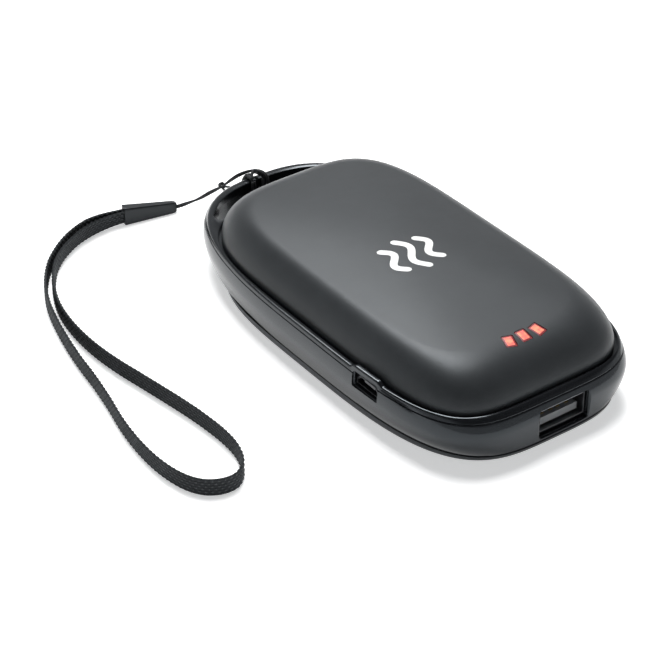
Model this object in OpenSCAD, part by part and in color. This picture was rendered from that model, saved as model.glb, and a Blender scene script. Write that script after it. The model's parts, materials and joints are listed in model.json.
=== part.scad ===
// Rechargeable pocket hand warmer with a wrist strap.
// Up is +Z, the port end is -Y, the strap end is +Y, and the floor is z = 0.
// The origin is at the middle of the body's base. All sizes are in millimetres.

/* [Outline] */
// Width across the glossy rim
rim_w = 59; // [57:0.5:62]
// Length along the glossy rim
rim_l = 111; // [107:1:116]
// Squareness of the outline at the port end
front_square = 4.4; // [4:0.1:4.6]
// Squareness of the outline at the strap end
rear_square = 2.7; // [2.6:0.1:2.9]
// Share by which the strap end is narrower and the port end wider than the middle
taper_share = 0.018; // [0:0.002:0.03]
// Swell of the belly past the rim at each side
side_belly = 0.4; // [0.3:0.05:0.7]
// Swell of the belly past the rim at each end
end_belly = 2.4; // [2:0.1:2.7]

/* [Heights] */
// Height of the bottom cover
bottom_h = 3; // [2.7:0.1:3.4]
// Height of the lower shell between its two seams
shell_h = 9; // [8.8:0.1:9.6]
// Height of the bezel's outer edge
bezel_h = 1.2; // [1:0.1:1.5]
// Height of the top cover's shoulder above its edge
shoulder_h = 8; // [7.5:0.25:9.5]
// Extra rise of the dome from its edge to the crown
crown_rise = 2; // [1.2:0.1:2.6]

/* [Lower shell] */
// Least thickness of the lower shell's wall at the rim
shell_wall = 2; // [1.8:0.1:2.4]
// Draw-in of the lower shell's sides at the bottom seam
side_tuck = 1.4; // [1:0.05:1.6]
// Draw-in of the lower shell's port end at the bottom seam
front_tuck = 0.2; // [0.1:0.1:0.8]
// Draw-in of the lower shell's strap end at the bottom seam
rear_tuck = 3; // [2.4:0.1:3.2]
// Thickness of the shell's floor round the bottom cover
shell_floor = 1.2; // [1:0.1:1.5]
// Depth of the step that seats the bezel
rebate_h = 0.8; // [0.6:0.1:1]
// Width of the shell's edge outside that step
rebate_edge = 0.6; // [0.5:0.05:0.7]

/* [Bezel] */
// Width of the shadow gap round the top cover
groove_w = 0.7; // [0.6:0.05:0.8]
// Depth of that shadow gap
groove_h = 0.9; // [0.8:0.05:1]
// Rounding of the bezel's outer edge
bezel_round = 0.35; // [0.2:0.05:0.5]
// Depth of the bezel's skirt below its step
skirt_h = 1.5; // [1.2:0.1:1.8]
// Thickness of the hood over the charging socket
hood_wall = 1.8; // [1.5:0.1:2.1]
// Length of each slope at the hood's ends
hood_slope = 2; // [1.4:0.2:2.6]

/* [Strap slot] */
// Width of the bar that the strap is tied to
bar_w = 2; // [1.8:0.1:2.3]
// Width of the slot at its middle
slot_w = 3.9; // [3.3:0.1:4]
// Angle round the outline at which the slot ends
slot_angle = 55; // [52:1:60]
// Thickness of the wall between the slot and the inside
slot_wall = 1.6; // [1.3:0.1:1.9]

/* [Top cover] */
// Distance from the rim to the top cover at the sides
cover_side_gap = 1.94; // [1.8:0.02:2.1]
// Distance from the rim to the top cover at the port end
cover_front_gap = 1.45; // [1.35:0.05:1.7]
// Distance from the rim to the top cover at the strap end
cover_rear_gap = 10.2; // [9.6:0.1:11]
// Squareness of the top cover's outline at the port end
cover_front_square = 4.9; // [4.6:0.1:5]
// Squareness of the top cover's outline at the strap end
cover_rear_square = 2.8; // [2.7:0.1:3]
// Width of the shoulder at the sides
side_run = 5.8; // [5:0.2:7]
// Length of the shoulder at the port end
front_run = 10; // [8.5:0.5:12]
// Length of the shoulder at the strap end
rear_run = 7.2; // [6:0.3:9]
// Thickness of the cover's wall
cover_wall = 1.5; // [1.2:0.1:1.7]
// Thickness of the snap skirt
snap_t = 0.9; // [0.8:0.1:1.1]

/* [Bottom cover] */
// Distance from the shell's strap end to the bottom cover
bottom_rear_gap = 12.1; // [11.5:0.1:13]
// Width of the bottom cover's rounding at the sides
bottom_side_run = 2.2; // [1.8:0.2:3]
// Length of the rounding at the port end
bottom_front_run = 14; // [12:0.5:16]
// Length of the rounding at the strap end
bottom_rear_run = 9; // [7:0.5:11]
// Thickness of the bottom cover's floor
bottom_floor = 1.5; // [1.3:0.1:1.7]
// Width of the lower shell's edge that meets the bottom cover
seam_land = 1.5; // [1.3:0.1:1.8]
// Thickness of the spigot that enters the lower shell
spigot_t = 1.2; // [1:0.1:1.4]
// Height of that spigot
spigot_h = 1.5; // [1.2:0.1:1.6]
// Depth and height of the shadow line at the bottom seam
seam_gap = 0.25; // [0.2:0.05:0.35]

/* [Indicator windows] */
// Width of one window
window_w = 2.3; // [1.9:0.1:2.6]
// Length of one window
window_l = 3.2; // [2.8:0.1:3.6]
// Distance between window centres
window_pitch = 3.95; // [3.6:0.05:4.4]
// Turn between one window and the next
window_fan = 16; // [8:1:18]
// Turn of the middle window
window_turn = 0; // [-6:1:6]
// Offset of the row from the middle
window_x = 0; // [-1:0.1:1]
// Distance from the port end's rim to the windows
window_inset = 10.4; // [9.6:0.1:11.4]
// Thickness of the light guide's base
guide_base = 1.3; // [1:0.1:1.6]
// Height of one lamp on the board
led_h = 0.7; // [0.6:0.05:0.8]
// Length of one lamp on the board
led_l = 1.6; // [1.2:0.1:2]

/* [Power socket] */
// Width of the socket's metal shell
usb_w = 13.2; // [13.1:0.1:13.4]
// Height of the socket's metal shell
usb_h = 5.7; // [5.7:0.1:5.9]
// Depth of the socket's metal shell
usb_l = 14; // [13:0.5:14.5]
// Thickness of the sheet metal of both sockets
usb_sheet = 0.3; // [0.25:0.05:0.35]
// Offset of the socket from the middle
usb_x = 1.7; // [1:0.1:2.2]
// Setback of the socket's mouth from the belly
usb_setback = 1.5; // [1.2:0.1:1.8]
// Clearance from the bottom seam up to the socket
usb_lift = 1.3; // [1.1:0.05:1.5]
// Gap between the socket and its opening
usb_gap = 0.3; // [0.2:0.05:0.4]
// Bevel round both socket openings
port_bevel = 0.5; // [0.3:0.05:0.6]
// Width of the socket's plastic tongue
tongue_w = 11.1; // [10.9:0.1:11.2]
// Thickness of that tongue
tongue_t = 1.84; // [1.8:0.02:1.9]
// Length of the block behind that tongue
tongue_back = 2.4; // [2:0.1:3]
// Gap under that tongue
tongue_lift = 0.5; // [0.4:0.05:0.6]
// Setback of that tongue from the socket's mouth
tongue_setback = 1.2; // [1:0.1:1.4]
// Width of one contact strip
contact_w = 1; // [0.9:0.05:1.1]
// Thickness of one contact strip
contact_t = 0.2; // [0.15:0.05:0.25]
// Length of one contact strip
contact_l = 8; // [7:0.2:8.6]

/* [Charging socket] */
// Width of the charging socket's shell
micro_w = 7.6; // [7.5:0.05:7.8]
// Height of the charging socket's shell
micro_h = 2.45; // [2.4:0.05:2.5]
// Depth of the charging socket's shell
micro_l = 5; // [4.6:0.1:5.4]
// Distance from the middle of the body to the charging socket
micro_y = 27.8; // [27:0.1:29]
// Height of the charging socket's shell above the board
micro_rise = 0.75; // [0.6:0.05:0.9]
// Width of the board on each side of the charging socket
micro_tab = 1.8; // [1.5:0.1:2.2]
// Setback of the charging socket's mouth from the rim
micro_setback = 0.6; // [0.5:0.05:0.8]
// Gap between the charging socket and its opening
micro_gap = 0.5; // [0.4:0.05:0.6]
// Width of the charging socket's tongue
micro_tongue_w = 3.7; // [3.4:0.1:4]
// Thickness of the charging socket's tongue
micro_tongue_t = 0.6; // [0.5:0.05:0.65]

/* [Power button] */
// Length of the button
button_l = 9; // [8:0.2:10]
// Height of the button
button_h = 3.4; // [3:0.1:3.8]
// Distance from the middle of the body to the button
button_y = 25; // [24:0.2:26]
// Clearance round the button
button_gap = 0.2; // [0.15:0.05:0.25]
// How far the button can be pressed
button_travel = 0.4; // [0.3:0.05:0.5]
// Sink of the button's face below the belly
button_sink = 0.15; // [0.1:0.05:0.3]
// Width of the flange that keeps the button in, at each end
flange_w = 0.9; // [0.7:0.1:1.1]
// Rise of that flange above and below the button
flange_rise = 0.2; // [0.1:0.05:0.3]
// Thickness of that flange
flange_t = 0.8; // [0.6:0.1:0.9]
// Length of the switch along the shell
switch_l = 4.5; // [4:0.1:5]
// Height of the switch
switch_h = 3.5; // [3.2:0.1:3.7]
// Depth of the switch behind its plunger
switch_t = 2.6; // [2.2:0.1:2.8]
// Radius of the switch's plunger
plunger_r = 0.8; // [0.6:0.05:0.9]

/* [Inside] */
// Thickness of the circuit board
board_t = 1; // [0.8:0.1:1.2]
// Length of the circuit board
board_l = 32; // [30:0.5:33]
// Room between each side of the battery and the shell's wall
cell_side_room = 9.5; // [8.5:0.5:12]
// Room between the battery and the rear screw bosses
cell_rear_room = 1.5; // [1.2:0.1:3]
// Thickness of each battery cell
cell_t = 7; // [6.8:0.1:7.2]
// Corner radius of each battery cell
cell_r = 2; // [1.5:0.1:2.5]
// Thickness of the tape between the cells
tape_t = 0.4; // [0.3:0.05:0.5]
// Thickness of the foam under the lower cell
foam_t = 1; // [0.8:0.05:1.2]
// Thickness of each heater film
film_t = 0.25; // [0.2:0.05:0.3]
// Thickness of each aluminium heat plate
plate_t = 0.5; // [0.4:0.05:0.6]
// Radius of a lead's insulation
lead_r = 0.5; // [0.4:0.05:0.6]

/* [Screws] */
// Radius of a screw's shaft
screw_r = 0.95; // [0.9:0.05:1]
// Length of a screw's shaft
screw_l = 10; // [9:0.5:11]
// Radius of a screw's head
head_r = 1.9; // [1.7:0.1:2]
// Height of a screw's head
head_h = 1.3; // [1.1:0.1:1.4]
// Radius of the bosses that the screws run in
boss_r = 2.6; // [2.3:0.1:2.8]
// Thickness of the webs that join the bosses to the walls
web_t = 1.4; // [1.2:0.1:1.8]
// Reach of those webs from the middle of each boss
web_l = 8.4; // [8:0.1:8.8]

/* [Strap] */
// Height of the webbing, which lies on its edge
webbing_h = 4.5; // [4:0.1:5]
// Thickness of the webbing
webbing_t = 0.8; // [0.7:0.05:0.9]
// Radius of the doubled string
string_r = 0.6; // [0.5:0.05:0.65]
// Length of the crimped ferrule
ferrule_l = 14; // [13.6:0.2:14.4]
// Height of the ferrule's wide end
ferrule_h = 4.9; // [4.7:0.1:5.2]
// Width of the ferrule's wide end
ferrule_w = 2.6; // [2.4:0.1:3]

/* [Hidden] */

// Points round every moulded outline
oval_steps = 72;
// Points on round holes and pins
round_steps = 48;
// Sides of a cord, and the steps in a rounded corner
cord_sides = 8;
corner_steps = 4;
// Overrun of every cut past the face that it opens
over = 1;
// Radial clearance of pins in holes and of parts that nest
fit_gap = 0.1;

// Heights of the seams and of the rim
seam_z = bottom_h + shell_h;
rim_z = seam_z + bezel_h;
groove_z = rim_z - groove_h;
rebate_z = seam_z - rebate_h;
skirt_z = rebate_z - skirt_h;

// The belly is widest at this share of the lower shell and bezel together
belly_height_share = 0.57;
belly_z = bottom_h + belly_height_share * (rim_z - bottom_h);
// How fast the belly tucks in below, and how much rounder its port corners get there
tuck_power = 1.8;
tuck_corner_share = 0.17;

// Half sizes of the rim
rim_half = rim_w / 2;
rim_end = rim_l / 2;

// Half sizes of the cavity inside the lower shell
cavity_half = rim_half - shell_wall;
cavity_front = rim_end + end_belly - front_tuck - shell_wall;
slot_rear = rim_end - bar_w - slot_w;
cavity_rear = slot_rear - slot_wall;

// Half sizes of the top cover, and the shape of its shoulder
cover_half = rim_half - cover_side_gap;
cover_front = rim_end - cover_front_gap;
cover_rear = rim_end - cover_rear_gap;
cover_edge_h = 0.3;
cover_edge_z = rim_z + cover_edge_h;
shoulder_z = cover_edge_z + shoulder_h;
shoulder_square = 1.64;

// Shares of the turn round the shoulder at which its outer and inner outlines lie
outer_shoulder_shares = [0, 0.08, 0.2, 0.34, 0.48, 0.61, 0.72, 0.82, 0.9, 0.96, 1];
inner_shoulder_shares = [0.2, 0.48, 0.72, 0.9, 1];
// Shares of the flat of the shoulder at which the crown's outlines lie
crown_shares = [0.7, 0.4, 0.12];
// Shares of the belly's height at which the lower shell's outlines lie
belly_shares = [0, 0.05, 0.11, 0.19, 0.3, 0.44, 0.64, 0.8, 1];
// Shares of the turn round the bottom cover's rounding
bottom_turn_shares = [1, 0.86, 0.72, 0.56, 0.38, 0.2, 0];

// Half sizes of the bottom cover at its seam
bottom_half = rim_half + side_belly - side_tuck;
bottom_front = rim_end + end_belly - front_tuck;
bottom_rear = rim_end + end_belly - rear_tuck - bottom_rear_gap;
bottom_front_square = front_square * (1 - tuck_corner_share);
bottom_rear_square = 3.6;
bottom_turn_square = 2.5;
spigot_inset = seam_land + fit_gap + spigot_t;

// Screw places
screw_side = 10.75;
screw_front = 14;
screw_rear = 26;
screw_spots = [
    [rim_half - screw_side, screw_front - rim_end],
    [screw_side - rim_half, screw_front - rim_end],
    [rim_half - 1.15 * screw_side, rim_end - screw_rear],
    [1.15 * screw_side - rim_half, rim_end - screw_rear]
];

// Places of the sockets, the board and the inside parts
opening_w = usb_w + 2 * usb_gap;
opening_low = bottom_h + usb_lift - 1.7 * usb_gap;
usb_z = bottom_h + usb_lift;
board_z = usb_z + usb_h;
board_top = board_z + board_t;
usb_mouth = rim_end + end_belly - usb_setback;
opening_high = board_top + usb_gap;
micro_share = pow(1 - pow(micro_y / rim_end, front_square), 1 / front_square);
micro_skin = tapered(rim_half * micro_share, -micro_y);
micro_mouth = micro_skin - micro_setback;
micro_reveal = micro_skin - cover_half - groove_w - fit_gap;
micro_top = board_top + micro_rise;
micro_z = micro_top - micro_h / 2;
snap_z = board_top + fit_gap;
skirt_inset = cover_wall + 2 * fit_gap + snap_t;
board_inset = skirt_inset + 2 * fit_gap;
board_front = cover_front - board_inset;
board_rear = board_front - board_l;
plate_z = bottom_floor;
film_z = plate_z + plate_t;
foam_z = film_z + film_t;
lower_cell_z = foam_z + foam_t;
tape_z = lower_cell_z + cell_t;
upper_cell_z = tape_z + tape_t;
upper_foam_z = upper_cell_z + cell_t;
ceiling_z = shoulder_z - cover_wall
    + crown_at(cover_half - side_run, cover_front + cover_rear - front_run - rear_run);
upper_plate_z = ceiling_z - plate_t;
upper_film_z = upper_plate_z - film_t;
cell_clearance = 3;
cell_front = board_rear - cell_clearance;
cell_rear = rim_end - screw_rear - boss_r - cell_rear_room;
cell_l = cell_front + cell_rear;
cell_w = 2 * (cavity_half - cell_side_room);

// Flat of the cover's ceiling, which carries the upper heat plate
ceiling_half = cover_half - side_run - cover_wall;
ceiling_front = cover_front - front_run - cover_wall;
ceiling_rear = cover_rear - rear_run - cover_wall;

// Screw holes and bosses
screw_hole_r = screw_r + fit_gap / 2;
boss_z = bottom_h + spigot_h + fit_gap;
screw_tip = boss_z + screw_l;
boss_top = board_top;
web_top = skirt_z - fit_gap;

// The button and the switch behind it
button_z = skirt_z - 2 * fit_gap - flange_rise - button_h / 2;
button_wall_x = cavity_half;
flange_x = button_wall_x - fit_gap;
switch_x = flange_x - flange_t - plunger_r - switch_t;
plunger_tip = flange_x - flange_t;

// Small parts on the board, the sensor bead and the screws' driver cross
chip_w = 5;
chip_t = 0.9;
chip_pitch = 6;
chip_y = 0.72 * board_l - board_front;
coil_w = 7;
coil_h = 3.2;
coil_y = 0.62 * board_l - board_front;
bead_w = 3;
bead_t = 1;
driver_w = 0.5;

// The hood's top follows the charging socket under it
hood_top = micro_top + micro_gap + hood_wall;
hood_base = micro_w / 2 + micro_gap - 0.4 * hood_slope;

// Ferrule, string and webbing: places on the floor, chosen by hand
ferrule_start = [-27.3, 74];
ferrule_turn = -12;
ferrule_end_share = 0.58;
string_route = [
    [-16.5, 71.7, 1.5], [-15.2, 71.4, 1.5], [-13.6, 70.5, 1.7], [-11.8, 67.6, 3.7],
    [-9.7, 64.3, 6.2], [-8.1, 62.5, 7.9], [-6.8, 60.9, 9.5], [-5.9, 59.4, 11.1],
    [-5.1, 57.9, 12.8], [-4.2, 56.7, 14.2], [-3.1, 55.6, 15], [-2.1, 54.9, 15.1],
    [-1.2, 54.3, 14.6]
];
hitch_x = -1.2;
hitch_route = [
    [52.8, 13.5], [52.7, 12.3], [52.7, 8.5], [52.7, 5], [52.8, 3.1], [53.5, 2.3], [54.4, 2.1],
    [55.4, 2.3], [56.4, 3.2], [57.3, 4.6], [58.1, 6.1], [58.6, 7.6], [58.7, 9], [58.4, 10.5],
    [57.8, 11.8], [56.9, 13], [55.8, 13.9], [54.6, 14.2], [53.5, 14.1]
];
webbing_route = [
    [-25.5, 73.1], [-28, 73.5], [-32, 73.9], [-36.5, 73.6], [-42, 71.9], [-47.5, 68.7],
    [-52, 64.7], [-55.5, 60], [-58.5, 54.8], [-61, 48.6], [-62.5, 42], [-63.2, 35],
    [-63.2, 28], [-62.5, 20.5], [-61.3, 13], [-60.1, 5.5], [-59, -2], [-58.3, -9],
    [-58.1, -15.5], [-58.7, -21], [-60.6, -26], [-64, -29.2], [-68, -29.3], [-71.6, -27],
    [-73.9, -22.5], [-75, -15.5], [-74.8, -7.5], [-73.6, 1], [-71.6, 9.8], [-69.9, 18.5],
    [-68.6, 27], [-67, 35], [-65, 43], [-62.6, 50.5], [-59.3, 57.4], [-54.7, 63.9],
    [-49.5, 68.8], [-44, 72.5], [-38.5, 74.7], [-33.5, 75.2], [-28, 74.6], [-25.5, 74.1]
];

// Signed power, which squares or rounds the quarter of an oval
function half_power(v, square) = sign(v) * pow(abs(v), 2 / square);

// A place's distance from the middle, narrowed towards the strap end
function tapered(x, y) = x * (1 - taper_share * y / rim_end);

// One closed outline with its own lengths and squareness to the front and the rear
function oval(half, front, rear, z, front_n, rear_n) = [
    for (i = [0 : oval_steps - 1])
        let (t = 360 * i / oval_steps)
        let (n = sin(t) < 0 ? front_n : rear_n)
        let (l = sin(t) < 0 ? front : rear)
        let (y = l * half_power(sin(t), n))
        [tapered(half * half_power(cos(t), n), y), y, z]
];

// The outer skin of the bezel and the lower shell at one height
function body_ring(z, inset) =
    let (up = z > belly_z ? pow((z - belly_z) / (rim_z - belly_z), 2) : 0)
    let (down = z < belly_z ? pow((belly_z - z) / (belly_z - bottom_h), tuck_power) : 0)
    oval(
        rim_half + side_belly * (1 - up) - side_tuck * down - inset,
        rim_end + end_belly * (1 - up) - front_tuck * down - inset,
        rim_end + end_belly * (1 - up) - rear_tuck * down - inset,
        z, front_square * (1 - tuck_corner_share * down), rear_square);

// The top cover's outline, grown or shrunk by an offset
function cover_ring(grow, z) =
    oval(cover_half + grow, cover_front + grow, cover_rear + grow, z,
        cover_front_square, cover_rear_square);

// The crown's rise on the outline with one half width and one length
function crown_at(half, length) =
    let (m = (half / cover_half + length / (cover_front + cover_rear)) / 2)
    crown_rise * (1 - m * m);

// The top cover's shoulder at one share of its turn, thinned by a wall
function shoulder_ring(share, wall) =
    let (inward = 1 - half_power(cos(90 * share), shoulder_square))
    let (upward = half_power(sin(90 * share), shoulder_square))
    let (half = cover_half - side_run * inward)
    let (front = cover_front - front_run * inward)
    let (rear = cover_rear - rear_run * inward)
    oval(half - wall, front - wall, rear - wall,
        cover_edge_z + shoulder_h * upward + crown_at(half, front + rear) - wall,
        cover_front_square, cover_rear_square);

// The top cover's crown at one share of the flat inside the shoulder
function crown_ring(share) =
    let (half = (cover_half - side_run) * share)
    let (front = (cover_front - front_run) * share)
    let (rear = (cover_rear - rear_run) * share)
    oval(half, front, rear, shoulder_z + crown_at(half, front + rear),
        cover_front_square, cover_rear_square);

// The bottom cover's rounding at one share of its turn
function bottom_ring(share) =
    let (inward = 1 - half_power(cos(90 * share), bottom_turn_square))
    let (downward = half_power(sin(90 * share), bottom_turn_square))
    oval(
        bottom_half - bottom_side_run * inward,
        bottom_front - bottom_front_run * inward,
        bottom_rear - bottom_rear_run * inward,
        (bottom_h - seam_gap) * (1 - downward),
        bottom_front_square, bottom_rear_square);

// The bottom cover's outline at its seam, shrunk by an inset
function bottom_seam_ring(inset, z) =
    oval(bottom_half - inset, bottom_front - inset, bottom_rear - inset, z,
        bottom_front_square, bottom_rear_square);

// The lower shell's cavity, shrunk by an inset
function cavity_ring(inset, z) =
    oval(cavity_half - inset, cavity_front - inset, cavity_rear - inset, z,
        front_square, rear_square);

// A rectangle with rounded corners, centred on the origin
function round_rect(w, l, r, z) = [
    for (corner = [0 : 3], step = [0 : corner_steps])
        let (turn = 90 * (corner + step / corner_steps))
        let (side_x = corner == 0 || corner == 3 ? 1 : -1)
        let (side_y = corner < 2 ? 1 : -1)
        [side_x * (w / 2 - r) + r * cos(turn), side_y * (l / 2 - r) + r * sin(turn), z]
];

// Points of an outline without their heights
function flat(points) = [for (p = points) [p[0], p[1]]];

// The crescent slot inside the strap bar
slot_turn = 2;
slot_bulge_share = 0.5;
bar_side_gap = 0.5;
slot_side_gap = 1.5;
function bar_edge(t) =
    let (y = (rim_end - bar_w) * half_power(sin(t), rear_square))
    [tapered((rim_half - bar_side_gap) * half_power(cos(t), rear_square), y), y];
function slot_edge(t) =
    let (y = slot_rear * half_power(sin(t), rear_square))
    [tapered((rim_half - slot_side_gap) * half_power(cos(t), rear_square), y), y];
function slot_cap(from, to) =
    let (centre = (from + to) / 2)
    let (half = (to - from) / 2)
    let (bulge = slot_bulge_share * [half[1], -half[0]])
    [for (angle = [30 : 30 : 150]) centre - half * cos(angle) + bulge * sin(angle)];
function slot_outline() =
    let (steps = 20)
    let (outer = [for (i = [0 : steps])
        bar_edge(slot_angle + (180 - 2 * slot_angle) * i / steps)])
    let (inner_angle = slot_angle + slot_turn)
    let (inner = [for (i = [0 : steps])
        slot_edge(180 - inner_angle - (180 - 2 * inner_angle) * i / steps)])
    concat(
        outer,
        slot_cap(outer[steps], inner[0]),
        inner,
        slot_cap(inner[steps], outer[0]));

// Unit vector, and the direction of a route at one of its points
function unit(v) = v / norm(v);
function heading(route, i) =
    unit(route[min(i + 1, len(route) - 1)] - route[max(i - 1, 0)]);

// A solid through outlines that lie one after another, closed at both ends
module loft(rings) {
    count = len(rings[0]);
    last = len(rings) - 1;
    sides = [
        for (k = [0 : last - 1], i = [0 : count - 1])
            let (j = (i + 1) % count)
            let (low = k * count)
            let (high = low + count)
            each [[low + i, high + i, high + j], [low + i, high + j, low + j]]
    ];
    first_cap = [for (i = [0 : count - 1]) i];
    last_cap = [for (i = [count - 1 : -1 : 0]) last * count + i];
    polyhedron(
        points = [for (ring = rings) each ring],
        faces = concat(sides, [first_cap, last_cap]),
        convexity = 8);
}

// A straight solid on one outline
module prism(points, low, high) {
    translate([0, 0, low])
        linear_extrude(height = high - low)
            polygon(flat(points));
}

// A box centred in X and Y that stands on one height
module block(x, y, low, w, l, h) {
    translate([x - w / 2, y - l / 2, low])
        cube([w, l, h]);
}

// A pin along Z
module pin(x, y, low, r, h) {
    translate([x, y, low])
        cylinder(r = r, h = h, $fn = round_steps);
}

// A slot-shaped bar along X, with round ends front and rear
module stadium(x, y, z, depth, l, h) {
    translate([x, y, z])
        rotate([0, 90, 0]) {
            translate([0, (h - l) / 2, 0])
                cylinder(r = h / 2, h = depth, $fn = round_steps);
            translate([0, (l - h) / 2, 0])
                cylinder(r = h / 2, h = depth, $fn = round_steps);
            translate([-h / 2, (h - l) / 2, 0])
                cube([h, l - h, depth]);
        }
}

// A round tube along a route that never runs along the direction given for its sides
module tube(route, r, across) {
    loft([
        for (i = [0 : len(route) - 1])
            let (along = heading(route, i))
            let (side = unit(cross(along, across)))
            let (top = cross(side, along))
            [for (k = [0 : cord_sides - 1])
                let (turn = 360 * k / cord_sides)
                route[i] + r * (side * cos(turn) + top * sin(turn))]
    ]);
}

// A tapered opening that grows by a bevel at its outer face, cut along +Z
module bevelled_cut(w, l, r, depth, bevel) {
    loft([
        round_rect(w, l, r, -depth),
        round_rect(w, l, r, -bevel),
        round_rect(w + 2 * bevel, l + 2 * bevel, r + bevel, 0),
        round_rect(w + 2 * bevel, l + 2 * bevel, r + bevel, over)
    ]);
}

// Web from a screw boss out to the nearest corner of the wall
module boss_web(spot, low, high) {
    angle = atan2(spot[1], spot[0] * rim_l / rim_w);
    translate([spot[0], spot[1], low])
        rotate([0, 0, angle])
            translate([0, -web_t / 2, 0])
                cube([web_l, web_t, high - low]);
}

// The outer solid of the top cover
module cover_solid() {
    loft(concat(
        [
            cover_ring(-cover_wall - 2 * fit_gap, snap_z),
            cover_ring(-cover_wall - 2 * fit_gap, groove_z),
            cover_ring(0, groove_z)
        ],
        [for (share = outer_shoulder_shares) shoulder_ring(share, 0)],
        [for (share = crown_shares) crown_ring(share)]));
}

// The hollow inside the top cover
module cover_hollow() {
    loft(concat(
        [
            cover_ring(-skirt_inset, snap_z - over),
            cover_ring(-skirt_inset, groove_z + snap_t),
            cover_ring(-cover_wall, groove_z + snap_t)
        ],
        [for (share = inner_shoulder_shares) shoulder_ring(share, cover_wall)]));
}

// One indicator window's block, numbered -1, 0 and 1 across the row
module window_block(i, grow, low, high) {
    translate([window_x + i * window_pitch, window_inset - rim_end, low])
        rotate([0, 0, window_turn + i * window_fan])
            translate([-window_w / 2 - grow, -window_l / 2 - grow, 0])
                cube([window_w + 2 * grow, window_l + 2 * grow, high - low]);
}

// The charging socket's outline across its depth, narrower at the top
module micro_profile(grow) {
    half = micro_w / 2 + grow;
    low = -micro_h / 2 - grow;
    high = micro_h / 2 + grow;
    corner_share = 0.45;
    corner = corner_share * micro_h;
    polygon([
        [-half, low], [half, low], [half, high - corner],
        [half - corner, high], [corner - half, high], [-half, high - corner]
    ]);
}

// The charging socket's outline carried inward from a distance off the middle
module micro_column(from, depth, grow) {
    translate([-from, -micro_y, micro_z])
        rotate([90, 0, 90])
            linear_extrude(height = depth)
                micro_profile(grow);
}

module top_cover() color("#3b3d40") {
    difference() {
        cover_solid();
        difference() {
            cover_hollow();
            for (spot = screw_spots) {
                pin(spot[0], spot[1], boss_top, boss_r, ceiling_z - boss_top + over / 2);
            }
        }
        for (i = [-1 : 1]) {
            window_block(i, fit_gap, groove_z, shoulder_z + crown_rise + over);
        }
        for (spot = screw_spots) {
            pin(spot[0], spot[1], boss_top - over, screw_hole_r,
                screw_tip + fit_gap + over - boss_top);
        }
        translate([-micro_mouth, -micro_y - micro_w / 2 - micro_gap, snap_z - over])
            cube([micro_l + 2 * fit_gap, micro_w + 2 * micro_gap,
                micro_top + 2 * fit_gap - snap_z + over]);
    }
}

module light_guide() color("#f2806a") {
    guide_z = board_top + led_h + fit_gap;
    row_w = 2 * window_pitch + window_w + window_l / 2;
    block(window_x, window_inset - rim_end, guide_z, row_w, window_l, guide_base);
    for (side = [-1, 1]) {
        leg_x = window_x + side * (row_w / 2 - led_h / 2);
        block(leg_x, window_inset - rim_end, board_top, led_h, window_l / 2, led_h + 2 * fit_gap);
    }
    intersection() {
        union() {
            for (i = [-1 : 1]) {
                window_block(i, 0, guide_z + guide_base / 2, shoulder_z + crown_rise);
            }
        }
        cover_solid();
    }
}

module bezel() color("#16181b") {
    edge_turns = [0, 30, 60, 90];
    lip_round = bezel_round / 2;
    difference() {
        union() {
            loft(concat(
                [body_ring(seam_z, 0), body_ring(seam_z + bezel_h / 3, 0)],
                [for (a = edge_turns)
                    body_ring(rim_z - bezel_round * (1 - sin(a)), bezel_round * (1 - cos(a)))]));
            prism(body_ring(rim_z, rebate_edge + fit_gap), rebate_z, groove_z);
            prism(cavity_ring(fit_gap, 0), skirt_z, groove_z);
            intersection() {
                difference() {
                    prism(body_ring(rim_z, 0), groove_z, hood_top);
                    prism(cover_ring(groove_w, 0), groove_z - over, hood_top + over);
                }
                hood_block();
            }
        }
        loft([
            cover_ring(groove_w, groove_z),
            cover_ring(groove_w, rim_z - lip_round),
            cover_ring(groove_w + lip_round, rim_z),
            cover_ring(groove_w + lip_round, hood_top + over)
        ]);
        prism(cover_ring(-cover_wall - fit_gap, 0), skirt_z - over, rim_z);
        prism(slot_outline(), skirt_z - over, rim_z + over);
        block(usb_x, -cavity_front, skirt_z - over, opening_w,
            2 * (cavity_front - cover_front + skirt_inset), opening_high + over - skirt_z);
        micro_opening();
        translate([-cavity_half - over, -micro_y - micro_w / 2 - micro_tab - 2 * fit_gap,
            skirt_z - over])
            cube([shell_wall + 2 * over, micro_w + 2 * micro_tab + 4 * fit_gap,
                board_top + fit_gap - skirt_z + over]);
    }
}

// The raised block whose top and slopes make the hood
module hood_block() {
    rise = hood_top - rim_z;
    slope_shares = [0, 0.2, 0.4, 0.6, 0.8, 1];
    right = [for (s = slope_shares)
        [hood_base + hood_slope * (1 - s), rim_z + rise * (1 - cos(180 * s)) / 2]];
    left = [for (i = [len(right) - 1 : -1 : 0]) [-right[i][0], right[i][1]]];
    outer = hood_base + hood_slope;
    translate([-rim_half - side_belly, -micro_y, 0])
        rotate([90, 0, 90])
            linear_extrude(height = micro_l)
                polygon(concat([[-outer, groove_z], [outer, groove_z]], right, left));
}

// The opening for the charging socket, with a bevel at the skin
module micro_opening() {
    micro_column(micro_skin, micro_reveal, micro_gap);
    micro_column(micro_mouth, micro_l + 2 * fit_gap, fit_gap);
    hull() {
        micro_column(micro_skin - port_bevel, fit_gap, micro_gap);
        micro_column(micro_skin + 2 * over, 2 * over, micro_gap + port_bevel);
    }
}

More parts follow.
